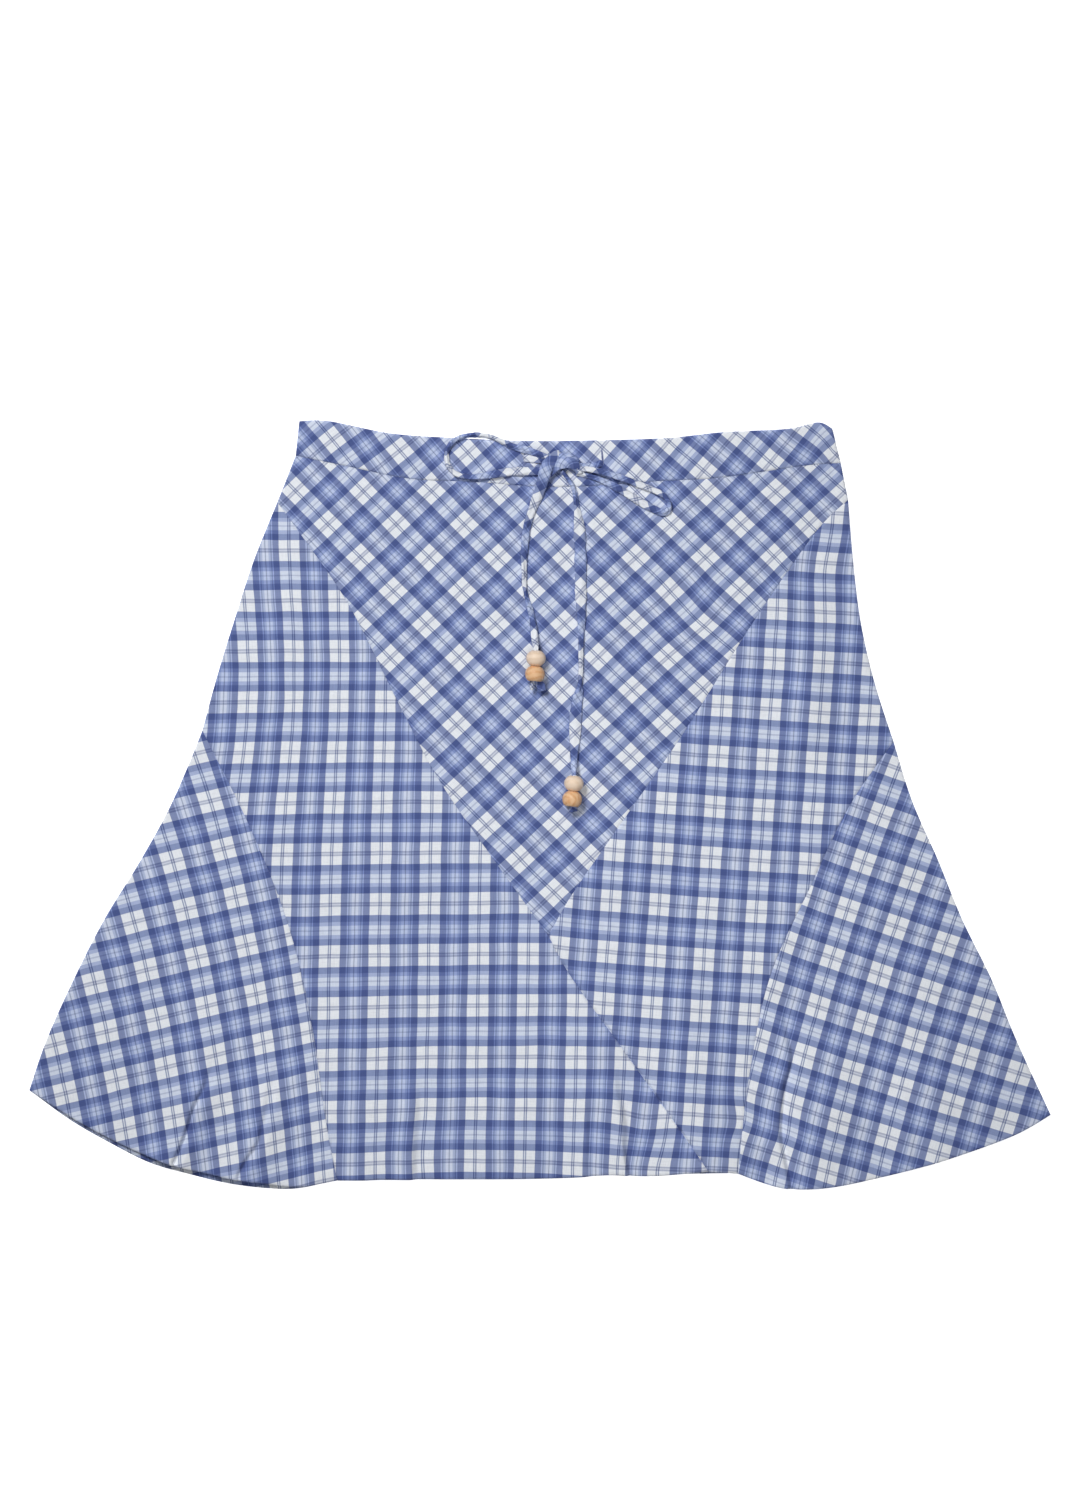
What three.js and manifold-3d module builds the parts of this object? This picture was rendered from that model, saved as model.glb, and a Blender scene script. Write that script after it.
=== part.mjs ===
// A knee length plaid skirt laid flat on its back, front up, in millimetres.
// +X runs across the skirt, +Y runs up towards the waist, +Z is up off the table.
// A bias yoke points down from a bias waistband, two straight panels meet in a slanted seam
// below its point, and a godet is let into each side. The back lies flat under the front.
// A drawstring comes out of the waistband, ties in a bow and carries two beads on each end.
import * as THREE from 'three';
import * as BufferGeometryUtils from 'three/addons/utils/BufferGeometryUtils.js';
import Module from 'manifold-3d';

// ---------------------------------------------------------------- driving dimensions

const SEAM_GAP = 0.3;          // between two sewn pieces
const BACK_WALL = 1.2;         // back cloth with its seam allowances, lying on the table
const FRONT_WALL = 1.2;        // front cloth
const BAND_WALL = 1.8;         // the waistband is a folded strip, so it is thicker
const LOFT = 2;                // how far the front stands off the back, away from the sides
const LOFT_REACH = 60;         // how far in from a side edge the full loft is reached

const TIE_WIDTH = 7.6;         // drawstring, a flat sewn tube
const TIE_THICK = 2;
const TIE_SIDES = 8;
const BEAD = { width: 16, height: 12.3, bore: 4.6, roundness: 6.9 };
const TIE_CORE = 4;            // drawstring squeezed together inside a bead
const TIE_END = 8;             // tied end below the lower bead
const KNOT = { length: 20, width: 15, height: 8 };

// How many steps each seam is divided into; neighbours share them, so their edges match.
const STEPS = { band: 3, waist: 20, sideTop: 2, yoke: 18, slant: 10, side: 10, godet: 18 };
const COLUMNS = { left: 14, right: 12, godet: 10 };

// ---------------------------------------------------------------- outline and seams
// x is across from the middle of the skirt's box, y is up from the middle of its height.

const WAIST_EDGE = [
  { x: -196, y: 311 }, { x: -172, y: 311 }, { x: -122, y: 301 }, { x: -75, y: 297.5 },
  { x: -20, y: 295 }, { x: 30, y: 295 }, { x: 100, y: 297 }, { x: 150, y: 302 },
  { x: 200, y: 304.5 }, { x: 226, y: 310 }, { x: 238, y: 305 },
];
const WAIST_SEAM = [
  { x: -199, y: 283 }, { x: -161, y: 275 }, { x: -106, y: 264 }, { x: -55, y: 261.5 },
  { x: 0, y: 257.5 }, { x: 40, y: 258 }, { x: 95, y: 262 }, { x: 138, y: 264 },
  { x: 177, y: 269 }, { x: 218, y: 275 }, { x: 245, y: 277 },
];
const YOKE_LEFT_CORNER = { x: -214, y: 245 };
const YOKE_RIGHT_CORNER = { x: 251, y: 247 };
const YOKE_POINT = { x: 7, y: -108 };
const YOKE_LEFT_SEAM = [
  YOKE_LEFT_CORNER, { x: -195, y: 219 }, { x: -156, y: 162 }, { x: -116, y: 83 },
  { x: -81, y: 17 }, { x: -34, y: -51 }, YOKE_POINT,
];
const YOKE_RIGHT_SEAM = [
  YOKE_RIGHT_CORNER, { x: 224, y: 220 }, { x: 174, y: 148 }, { x: 118, y: 59 },
  { x: 74, y: -5 }, { x: 27, y: -73 }, YOKE_POINT,
];
const SLANT_HEM = { x: 137, y: -299.5 };
const SLANT_SEAM = [
  YOKE_POINT, { x: 25, y: -141 }, { x: 70, y: -204 }, { x: 104, y: -252 }, SLANT_HEM,
];
const LEFT_GODET_TOP = { x: -275, y: 59 };
const LEFT_GODET_HEM = { x: -165, y: -307 };
const LEFT_GODET_SEAM = [
  LEFT_GODET_TOP, { x: -235, y: -22 }, { x: -205, y: -99 }, { x: -187, y: -174 },
  { x: -174, y: -260 }, LEFT_GODET_HEM,
];
const RIGHT_GODET_TOP = { x: 288, y: 50 };
const RIGHT_GODET_HEM = { x: 161, y: -301.5 };
const RIGHT_GODET_SEAM = [
  RIGHT_GODET_TOP, { x: 252, y: -2 }, { x: 221, y: -66 }, { x: 187, y: -142 },
  { x: 170, y: -224 }, RIGHT_GODET_HEM,
];
const LEFT_CORNER = { x: -416, y: -234 };
const RIGHT_CORNER = { x: 416, y: -254 };
const LEFT_SIDE_TOP = [WAIST_SEAM[0], YOKE_LEFT_CORNER];
const RIGHT_SIDE_TOP = [WAIST_SEAM[WAIST_SEAM.length - 1], YOKE_RIGHT_CORNER];
const LEFT_SIDE = [
  YOKE_LEFT_CORNER, { x: -233, y: 198 }, { x: -249, y: 149 }, { x: -264, y: 100 }, LEFT_GODET_TOP,
];
const RIGHT_SIDE = [
  YOKE_RIGHT_CORNER, { x: 255, y: 198 }, { x: 261, y: 149 }, { x: 272, y: 100 }, RIGHT_GODET_TOP,
];
const LEFT_FLARE = [
  LEFT_GODET_TOP, { x: -299, y: 2 }, { x: -325, y: -46 }, { x: -355, y: -95 },
  { x: -380, y: -144 }, { x: -402, y: -193 }, LEFT_CORNER,
];
const RIGHT_FLARE = [
  RIGHT_GODET_TOP, { x: 303, y: 2 }, { x: 324, y: -46 }, { x: 344, y: -95 },
  { x: 368, y: -144 }, { x: 388, y: -193 }, RIGHT_CORNER,
];

// The front hem, a table for each piece that it crosses.
const LEFT_GODET_HEMLINE = [
  LEFT_CORNER, { x: -375, y: -260 }, { x: -334, y: -281 }, { x: -300, y: -294 },
  { x: -262, y: -303.5 }, { x: -225, y: -309.5 }, { x: -196, y: -312.5 }, LEFT_GODET_HEM,
];
const LEFT_PANEL_HEMLINE = [
  LEFT_GODET_HEM, { x: -114, y: -306.5 }, { x: 8, y: -305.5 }, { x: 57, y: -302.5 },
  { x: 90, y: -304 }, SLANT_HEM,
];
const RIGHT_PANEL_HEMLINE = [SLANT_HEM, RIGHT_GODET_HEM];
const RIGHT_GODET_HEMLINE = [
  RIGHT_GODET_HEM, { x: 187, y: -311 }, { x: 212, y: -314 }, { x: 253, y: -310 },
  { x: 318, y: -294 }, { x: 383, y: -272 }, RIGHT_CORNER,
];

// The back hem hangs a little lower than the front one on the left.
const BACK_LEFT_HEMLINE = [
  LEFT_CORNER, { x: -383, y: -258 }, { x: -350, y: -277 }, { x: -318, y: -293 },
  { x: -285, y: -302.5 }, { x: -253, y: -310 }, { x: -220, y: -314 }, { x: -196, y: -313.8 },
  LEFT_GODET_HEM,
];
const BACK_MIDDLE_HEMLINE = [LEFT_GODET_HEM, { x: 8, y: -304 }, RIGHT_GODET_HEM];
const BACK_RIGHT_HEMLINE = [
  RIGHT_GODET_HEM, { x: 212, y: -311 }, { x: 285, y: -301 }, { x: 350, y: -283 }, RIGHT_CORNER,
];

// Soft folds of the front, each along a line from its faint end to its strong end:
// rise is its height, or depth where negative, and half is its half width.
const FOLDS = [
  { x1: -268, y1: -150, x2: -284, y2: -240, rise: 4, half: 20 },
  { x1: -284, y1: -240, x2: -302, y2: -295, rise: 4, half: 18 },
  { x1: -216, y1: -190, x2: -242, y2: -308, rise: 5, half: 22 },
  { x1: -150, y1: -180, x2: -150, y2: -306, rise: 3, half: 24 },
  { x1: -112, y1: -170, x2: -104, y2: -306, rise: -2, half: 22 },
  { x1: -40, y1: -220, x2: -30, y2: -306, rise: 2, half: 30 },
  { x1: 38, y1: -160, x2: 42, y2: -304, rise: 4, half: 18 },
  { x1: 60, y1: -200, x2: 76, y2: -303, rise: -2, half: 14 },
  { x1: 100, y1: -150, x2: 137, y2: -300, rise: 5, half: 22 },
  { x1: 194, y1: -150, x2: 200, y2: -240, rise: -2, half: 20 },
  { x1: 200, y1: -240, x2: 190, y2: -312, rise: -2, half: 16 },
  { x1: 230, y1: -190, x2: 228, y2: -312, rise: 5, half: 26 },
  { x1: 300, y1: -190, x2: 322, y2: -293, rise: 4, half: 26 },
  { x1: 222, y1: 175, x2: 216, y2: 60, rise: 3, half: 18 },
  { x1: 120, y1: 20, x2: 60, y2: -60, rise: 2, half: 26 },
  { x1: -214, y1: 90, x2: -222, y2: 215, rise: 3, half: 18 },
  { x1: -150, y1: 60, x2: -120, y2: -60, rise: 2, half: 30 },
];

// ---------------------------------------------------------------- drawstring
// Each row is a point on the middle of the drawstring: lift is its height above the cloth.

const LYING = TIE_THICK / 2 + SEAM_GAP;
const LOOSE = LYING + 0.5;   // the loops stand off the cloth a little
const KNOT_CENTRE = { x: 19, y: 275 };
const LOOP_LEFT = [
  { x: 6, y: 281, lift: 4 }, { x: -8, y: 286, lift: 3.4 }, { x: -19, y: 289, lift: LOOSE },
  { x: -28, y: 292.6, lift: LOOSE }, { x: -35, y: 295.8, lift: LOOSE },
  { x: -43, y: 298.2, lift: LOOSE }, { x: -53, y: 299.4, lift: LOOSE },
  { x: -63, y: 298, lift: LOOSE }, { x: -70, y: 294.6, lift: LOOSE },
  { x: -75, y: 288.6, lift: LOOSE }, { x: -76, y: 281.5, lift: LOOSE },
  { x: -74.6, y: 274.7, lift: LOOSE }, { x: -70, y: 269, lift: LOOSE },
  { x: -62.8, y: 266, lift: LOOSE }, { x: -54, y: 265.2, lift: LOOSE },
  { x: -44, y: 266.4, lift: LOOSE }, { x: -33, y: 268.1, lift: LOOSE },
  { x: -23, y: 269.6, lift: LOOSE }, { x: -13, y: 269.8, lift: 2.4 }, { x: 6, y: 270, lift: 4 },
];
const LOOP_RIGHT = [
  { x: 30, y: 272, lift: 4.8 }, { x: 38, y: 271.4, lift: 4.8 }, { x: 48, y: 269.8, lift: 4.8 },
  { x: 58, y: 267, lift: 3.8 }, { x: 69, y: 263.4, lift: 2.2 }, { x: 80, y: 259.4, lift: LOOSE },
  { x: 90, y: 255.6, lift: LOOSE }, { x: 99, y: 251.2, lift: LOOSE },
  { x: 104.4, y: 245.6, lift: LOOSE }, { x: 105, y: 239.4, lift: LOOSE },
  { x: 100.6, y: 236.2, lift: LOOSE }, { x: 91.5, y: 239.6, lift: LOOSE },
  { x: 81, y: 245.2, lift: LOOSE }, { x: 71, y: 251.4, lift: LOOSE },
  { x: 60, y: 258, lift: LOOSE }, { x: 48, y: 263.4, lift: LYING },
  { x: 39, y: 266.4, lift: LYING }, { x: 30, y: 268.4, lift: 1.6 },
];
const TAIL_LEFT = [
  { x: 6.5, y: 279, lift: 7 }, { x: 4.5, y: 271, lift: 7 }, { x: 2.2, y: 261.6, lift: 4.6 },
  { x: -0.6, y: 253, lift: 2.2 }, { x: -4.2, y: 244, lift: LYING },
  { x: -7.4, y: 235, lift: LYING }, { x: -10.2, y: 225.8, lift: LYING },
  { x: -11.9, y: 214.3, lift: LYING }, { x: -12.7, y: 202, lift: LYING },
  { x: -13, y: 190, lift: LYING }, { x: -12.6, y: 178, lift: LYING },
  { x: -11, y: 167.6, lift: LYING }, { x: -8.3, y: 158.6, lift: LYING },
  { x: -6, y: 149, lift: LYING + 0.4 }, { x: -4.8, y: 138.8, lift: 3.6 },
  { x: -4, y: 131.4, lift: 6.4 }, { x: -3.3, y: 126.2, lift: 8.3 },
];
const TAIL_RIGHT = [
  { x: 21, y: 266, lift: 3.4 }, { x: 27, y: 257, lift: 2.2 }, { x: 29.4, y: 244.6, lift: LYING },
  { x: 30.8, y: 234.7, lift: LYING }, { x: 32, y: 224, lift: LYING },
  { x: 32.7, y: 210.3, lift: LYING }, { x: 33, y: 194, lift: LYING },
  { x: 33, y: 177.7, lift: LYING }, { x: 33.4, y: 161.4, lift: LYING },
  { x: 33.7, y: 147.5, lift: LYING }, { x: 33.5, y: 132.8, lift: LYING },
  { x: 33.3, y: 120.6, lift: LYING }, { x: 33.3, y: 108.4, lift: LYING },
  { x: 32.6, y: 96.2, lift: LYING }, { x: 30.8, y: 85.6, lift: LYING },
  { x: 29.2, y: 74.2, lift: LYING }, { x: 28.7, y: 61.1, lift: LYING },
  { x: 28.2, y: 49.7, lift: LYING + 0.4 }, { x: 27.7, y: 39.1, lift: 2.6 },
  { x: 27.5, y: 31, lift: 5.8 }, { x: 27.5, y: 24.6, lift: 8.3 },
];
// From the knot to the slits in the waistband where the drawstring comes out.
const ENTRY_LEFT = [
  { x: 14, y: 279, lift: LYING }, { x: 6, y: 279, lift: LYING }, { x: -4, y: 279, lift: LYING },
  { x: -12.5, y: 279, lift: LYING },
];
const ENTRY_RIGHT = [
  { x: 26, y: 277, lift: LYING }, { x: 38, y: 276.5, lift: LYING }, { x: 50, y: 278, lift: LYING },
];
// The middle of each upper bead, and the way down its string to the lower one.
const BEAD_STRINGS = [
  { side: 'left', x: -3.3, y: 117.7, alongX: -0.06, alongY: -1 },
  { side: 'right', x: 27.5, y: 16.1, alongX: -0.11, alongY: -1 },
];

// ---------------------------------------------------------------- materials

const material = (color, roughness) => new THREE.MeshStandardMaterial({ color, roughness, metalness: 0 });
const PLAID = material(0x8d9cc0, 0.85);
const PLAID_BIAS = material(0x97a5c6, 0.85);
const TIE_CLOTH = material(0x6f80b0, 0.85);
const PALE_WOOD = material(0xe2cfae, 0.55);
const TAN_WOOD = material(0xd3a56c, 0.55);

// ---------------------------------------------------------------- curves and heights

const spline = (rows) => new THREE.SplineCurve(rows.map((row) => new THREE.Vector2(row.x, row.y)));
const divide = (rows, steps) => spline(rows).getSpacedPoints(steps);
const join = (first, second) => [...first, ...second.slice(1)];

// The side edges as polylines, to find how far in from the sides a point lies.
const leftEdge = join(join(divide([WAIST_EDGE[0], ...LEFT_SIDE_TOP], 6), divide(LEFT_SIDE, 12)),
  divide(LEFT_FLARE, 18));
const rightEdge = join(
  join(divide([WAIST_EDGE[WAIST_EDGE.length - 1], ...RIGHT_SIDE_TOP], 6), divide(RIGHT_SIDE, 12)),
  divide(RIGHT_FLARE, 18));

function edgeAt(edge, y) {
  for (let i = 1; i < edge.length; i++) {
    const above = edge[i - 1];
    const below = edge[i];
    if (y <= above.y && y >= below.y) {
      return THREE.MathUtils.mapLinear(y, below.y, above.y, below.x, above.x);
    }
  }
  return y > edge[0].y ? edge[0].x : edge[edge.length - 1].x;
}

function foldHeight(x, y) {
  let height = 0;
  for (const fold of FOLDS) {
    const alongX = fold.x2 - fold.x1;
    const alongY = fold.y2 - fold.y1;
    const reach = ((x - fold.x1) * alongX + (y - fold.y1) * alongY) / (alongX ** 2 + alongY ** 2);
    const t = THREE.MathUtils.clamp(reach, 0, 1);
    const away = Math.hypot(x - fold.x1 - t * alongX, y - fold.y1 - t * alongY);
    const strength = THREE.MathUtils.smoothstep(t, -0.2, 0.7);
    height += fold.rise * strength * Math.exp(-((away / fold.half) ** 2));
  }
  return height;
}

// How high the underside of the front stands above the back.
function loftAt(x, y) {
  const inward = Math.min(x - edgeAt(leftEdge, y), edgeAt(rightEdge, y) - x);
  const share = THREE.MathUtils.smoothstep(inward, 0, LOFT_REACH);
  return Math.max(0, share * (LOFT + foldHeight(x, y)));
}

const undersideAt = (x, y) => BACK_WALL + SEAM_GAP + loftAt(x, y);
const bandUndersideAt = (x, y) => BAND_WALL + SEAM_GAP + loftAt(x, y);

// The top of the front cloth, the waistband included.
const waistSeamLine = divide(WAIST_SEAM, STEPS.waist);
function clothTop(x, y) {
  const right = waistSeamLine.findIndex((point) => point.x > x);
  const above = waistSeamLine[Math.max(right, 1)];
  const below = waistSeamLine[Math.max(right, 1) - 1];
  const seamY = THREE.MathUtils.mapLinear(x, below.x, above.x, below.y, above.y);
  const bandReach = TIE_WIDTH;
  return y > seamY - bandReach ? bandUndersideAt(x, y) + BAND_WALL : undersideAt(x, y) + FRONT_WALL;
}

// ---------------------------------------------------------------- cloth pieces

// Points inside four edges: left and right run down, top and bottom run across.
function coonsGrid(left, right, top, bottom) {
  const rows = left.length - 1;
  const columns = top.length - 1;
  const grid = [];
  for (let i = 0; i <= rows; i++) {
    const v = i / rows;
    const row = [];
    for (let j = 0; j <= columns; j++) {
      const u = j / columns;
      const point = new THREE.Vector2()
        .addScaledVector(left[i], 1 - u).addScaledVector(right[i], u)
        .addScaledVector(top[j], 1 - v).addScaledVector(bottom[j], v)
        .addScaledVector(top[0], -(1 - u) * (1 - v)).addScaledVector(top[columns], -u * (1 - v))
        .addScaledVector(bottom[0], -(1 - u) * v).addScaledVector(bottom[columns], -u * v);
      row.push(point);
    }
    grid.push(row);
  }
  return grid;
}

// The grid's rim, anticlockwise from its top left corner, as row and column numbers.
function rimOf(grid) {
  const rows = grid.length - 1;
  const columns = grid[0].length - 1;
  const rim = [];
  for (let i = 0; i < rows; i++) rim.push([i, 0]);
  for (let j = 0; j < columns; j++) rim.push([rows, j]);
  for (let i = rows; i > 0; i--) rim.push([i, columns]);
  for (let j = columns; j > 0; j--) rim.push([0, j]);
  return rim;
}

const same = (a, b) => a.distanceTo(b) < 1e-6;
const withoutRepeats = (loop) => loop.filter((point, i) => !same(point, loop.at(i - 1)));

// A closed anticlockwise outline moved inwards, each corner along its bisector.
function inset(loop, distance) {
  return loop.map((point, i) => {
    const before = point.clone().sub(loop.at(i - 1)).normalize();
    const after = loop[(i + 1) % loop.length].clone().sub(point).normalize();
    const bisector = new THREE.Vector2(-before.y - after.y, before.x + after.x);
    return point.clone().addScaledVector(bisector, (2 * distance) / bisector.lengthSq());
  });
}

function closedGeometry(positions, triangles) {
  const geometry = new THREE.BufferGeometry();
  geometry.setAttribute('position', new THREE.Float32BufferAttribute(positions, 3));
  geometry.setIndex(triangles);
  geometry.computeVertexNormals();
  return geometry;
}

// A wall of cloth over a grid: its underside follows a height, its top lies a wall above.
function clothGeometry(grid, underside, wall) {
  const rim = rimOf(grid);
  const loop = withoutRepeats(rim.map(([i, j]) => grid[i][j]));
  const moved = inset(loop, SEAM_GAP / 2);
  const place = (point) => moved[loop.findIndex((corner) => same(corner, point))] ?? point;

  const points = [];
  const ids = grid.map((row) => row.map((point) => {
    const known = points.findIndex((other) => same(other.flat, point));
    if (known >= 0) return known;
    const { x, y } = place(point);
    points.push({ flat: point, x, y });
    return points.length - 1;
  }));
  const positions = points.flatMap(({ x, y }) => [x, y, underside(x, y)]);
  positions.push(...points.flatMap(({ x, y }) => [x, y, underside(x, y) + wall]));

  const triangles = [];
  const up = points.length;
  const addFace = (a, b, c) => {
    if (a === b || b === c || c === a) return;
    triangles.push(a + up, b + up, c + up, c, b, a);
  };
  for (let i = 1; i < ids.length; i++) {
    for (let j = 1; j < ids[0].length; j++) {
      const [a, b, c, d] = [ids[i - 1][j - 1], ids[i][j - 1], ids[i][j], ids[i - 1][j]];
      const span = (p, q) => points[p].flat.distanceTo(points[q].flat);
      if (span(a, c) <= span(b, d)) {
        addFace(a, b, c);
        addFace(a, c, d);
      } else {
        addFace(a, b, d);
        addFace(b, c, d);
      }
    }
  }
  const edge = rim.map(([i, j]) => ids[i][j]).filter((id, i, all) => id !== all.at(i - 1));
  edge.forEach((a, i) => {
    const b = edge[(i + 1) % edge.length];
    triangles.push(a, b, b + up, a, b + up, a + up);
  });
  return closedGeometry(positions, triangles);
}

// A flat piece of the back, from its edges taken anticlockwise.
function flatGeometry(edges, wall) {
  const loop = withoutRepeats(edges.flat());
  const shape = new THREE.Shape(inset(loop, SEAM_GAP / 2));
  return new THREE.ExtrudeGeometry(shape, { depth: wall, bevelEnabled: false, steps: 1 });
}

const down = (rows, steps) => divide(rows, steps);
const back = (points) => [...points].reverse();
const stay = (point, steps) => Array.from({ length: steps + 1 }, () => new THREE.Vector2(point.x, point.y));

const yokeLeft = down(YOKE_LEFT_SEAM, STEPS.yoke);
const yokeRight = down(YOKE_RIGHT_SEAM, STEPS.yoke);
const slant = down(SLANT_SEAM, STEPS.slant);
const leftGodetSeam = down(LEFT_GODET_SEAM, STEPS.godet);
const rightGodetSeam = down(RIGHT_GODET_SEAM, STEPS.godet);
const leftSideTop = down(LEFT_SIDE_TOP, STEPS.sideTop);
const rightSideTop = down(RIGHT_SIDE_TOP, STEPS.sideTop);
const leftSide = down(LEFT_SIDE, STEPS.side);
const rightSide = down(RIGHT_SIDE, STEPS.side);
const leftFlare = down(LEFT_FLARE, STEPS.godet);
const rightFlare = down(RIGHT_FLARE, STEPS.godet);
const waistEdgeLine = divide(WAIST_EDGE, STEPS.waist);
const bandLeft = down([WAIST_EDGE[0], WAIST_SEAM[0]], STEPS.band);
const bandRight = down([WAIST_EDGE.at(-1), WAIST_SEAM.at(-1)], STEPS.band);

function waistbandFront() {
  return clothGeometry(coonsGrid(bandLeft, bandRight, waistEdgeLine, waistSeamLine), bandUndersideAt, BAND_WALL);
}

function yokeFront() {
  const grid = coonsGrid(join(leftSideTop, yokeLeft), join(rightSideTop, yokeRight), waistSeamLine,
    stay(YOKE_POINT, STEPS.waist));
  return clothGeometry(grid, undersideAt, FRONT_WALL);
}

function panelFrontLeft() {
  const grid = coonsGrid(join(leftSide, leftGodetSeam), join(yokeLeft, slant),
    stay(YOKE_LEFT_CORNER, COLUMNS.left), divide(LEFT_PANEL_HEMLINE, COLUMNS.left));
  return clothGeometry(grid, undersideAt, FRONT_WALL);
}

function panelFrontRight() {
  const grid = coonsGrid(join(yokeRight, slant), join(rightSide, rightGodetSeam),
    stay(YOKE_RIGHT_CORNER, COLUMNS.right), divide(RIGHT_PANEL_HEMLINE, COLUMNS.right));
  return clothGeometry(grid, undersideAt, FRONT_WALL);
}

function godetFrontLeft() {
  const grid = coonsGrid(leftFlare, leftGodetSeam, stay(LEFT_GODET_TOP, COLUMNS.godet),
    divide(LEFT_GODET_HEMLINE, COLUMNS.godet));
  return clothGeometry(grid, undersideAt, FRONT_WALL);
}

function godetFrontRight() {
  const grid = coonsGrid(rightGodetSeam, rightFlare, stay(RIGHT_GODET_TOP, COLUMNS.godet),
    divide(RIGHT_GODET_HEMLINE, COLUMNS.godet));
  return clothGeometry(grid, undersideAt, FRONT_WALL);
}

const waistbandBack = () => flatGeometry([bandLeft, waistSeamLine, back(bandRight), back(waistEdgeLine)], BAND_WALL);
const panelBack = () => flatGeometry([
  leftSideTop, leftSide, leftGodetSeam, divide(BACK_MIDDLE_HEMLINE, COLUMNS.left),
  back(rightGodetSeam), back(rightSide), back(rightSideTop), back(waistSeamLine),
], BACK_WALL);
const godetBackLeft = () => flatGeometry(
  [leftFlare, divide(BACK_LEFT_HEMLINE, COLUMNS.left), back(leftGodetSeam)], BACK_WALL);
const godetBackRight = () => flatGeometry(
  [rightGodetSeam, divide(BACK_RIGHT_HEMLINE, COLUMNS.left), back(rightFlare)], BACK_WALL);

// ---------------------------------------------------------------- drawstring pieces

// The flat drawstring along a route, with its thin side upright.
function tieGeometry(rows, steps) {
  const route = new THREE.CatmullRomCurve3(
    rows.map((row) => new THREE.Vector3(row.x, row.y, clothTop(row.x, row.y) + row.lift)));
  const section = new THREE.Shape();
  section.absellipse(0, 0, TIE_THICK / 2, TIE_WIDTH / 2, 0, 2 * Math.PI);
  const outline = new THREE.Shape(section.getSpacedPoints(TIE_SIDES).slice(0, TIE_SIDES));
  return new THREE.ExtrudeGeometry(outline, { steps, bevelEnabled: false, extrudePath: route });
}

// A turned shape on the bead string: its axis runs down the string from the upper bead's middle.
function turnedGeometry(string, profile, sides, shift) {
  const geometry = new THREE.LatheGeometry(profile.map(([radius, down]) => new THREE.Vector2(radius, -down)), sides);
  const along = new THREE.Vector3(string.alongX, string.alongY, 0).normalize();
  const middle = new THREE.Vector3(string.x, string.y, clothTop(string.x, string.y) + BEAD.width / 2 + SEAM_GAP);
  geometry.applyQuaternion(new THREE.Quaternion().setFromUnitVectors(new THREE.Vector3(0, -1, 0), along));
  const place = middle.addScaledVector(along, shift);
  return geometry.translate(place.x, place.y, place.z);
}

// A round bead with flat ends and a bore for the string.
function beadGeometry(string, shift) {
  const arcSteps = 8;
  const widest = Math.asin(BEAD.height / 2 / BEAD.roundness);
  const profile = [];
  for (let i = 0; i <= arcSteps; i++) {
    const angle = THREE.MathUtils.lerp(widest, -widest, i / arcSteps);
    profile.push([(BEAD.width / 2) * Math.cos(angle), BEAD.roundness * Math.sin(angle)]);
  }
  profile.push([BEAD.bore / 2, -BEAD.height / 2], [BEAD.bore / 2, BEAD.height / 2], profile[0]);
  return turnedGeometry(string, profile, 16, shift);
}

// The squeezed drawstring through both beads and the tied end below them.
function tieEndGeometry(string) {
  const core = TIE_CORE / 2;
  const top = -BEAD.height / 2 - 1;
  const bottom = BEAD.height * 1.5 + SEAM_GAP * 2;
  const profile = [
    [0, bottom + TIE_END], [core, bottom + TIE_END], [core * 1.7, bottom + TIE_END * 0.55],
    [core * 1.5, bottom], [core, bottom], [core, top], [0, top],
  ];
  return turnedGeometry(string, profile, 12, 0);
}

// The knot of the bow, with the two short stretches of drawstring to the waistband's slits.
async function knotGeometry() {
  const wasm = await Module();
  wasm.setup();
  const solid = (geometry) => {
    geometry.deleteAttribute('normal');
    geometry.deleteAttribute('uv');
    const merged = BufferGeometryUtils.mergeVertices(geometry, 1e-4);
    return new wasm.Manifold(new wasm.Mesh({
      numProp: 3, vertProperties: merged.attributes.position.array, triVerts: merged.index.array,
    }));
  };
  const ball = new THREE.SphereGeometry(1, 16, 10);
  ball.scale(KNOT.length / 2, KNOT.width / 2, KNOT.height / 2);
  const rest = clothTop(KNOT_CENTRE.x, KNOT_CENTRE.y) + KNOT.height / 2 + SEAM_GAP;
  ball.translate(KNOT_CENTRE.x, KNOT_CENTRE.y, rest);
  const mesh = solid(ball)
    .add(solid(tieGeometry(ENTRY_LEFT, 5)))
    .add(solid(tieGeometry(ENTRY_RIGHT, 5)))
    .getMesh();
  return closedGeometry([...mesh.vertProperties], [...mesh.triVerts]);
}

// ---------------------------------------------------------------- the skirt

const skirt = new THREE.Group();

function addPiece(name, geometry, look) {
  const mesh = new THREE.Mesh(geometry, look);
  mesh.name = name;
  skirt.add(mesh);
}

addPiece('panel_back', panelBack(), PLAID);
addPiece('godet_back_left', godetBackLeft(), PLAID);
addPiece('godet_back_right', godetBackRight(), PLAID);
addPiece('waistband_back', waistbandBack(), PLAID_BIAS);
addPiece('waistband_front', waistbandFront(), PLAID_BIAS);
addPiece('yoke_front', yokeFront(), PLAID_BIAS);
addPiece('panel_front_left', panelFrontLeft(), PLAID);
addPiece('panel_front_right', panelFrontRight(), PLAID);
addPiece('godet_front_left', godetFrontLeft(), PLAID);
addPiece('godet_front_right', godetFrontRight(), PLAID);
addPiece('bow_knot', await knotGeometry(), TIE_CLOTH);
addPiece('bow_loop_left', tieGeometry(LOOP_LEFT, 28), TIE_CLOTH);
addPiece('bow_loop_right', tieGeometry(LOOP_RIGHT, 26), TIE_CLOTH);
addPiece('tie_tail_left', tieGeometry(TAIL_LEFT, 20), TIE_CLOTH);
addPiece('tie_tail_right', tieGeometry(TAIL_RIGHT, 24), TIE_CLOTH);
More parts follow.
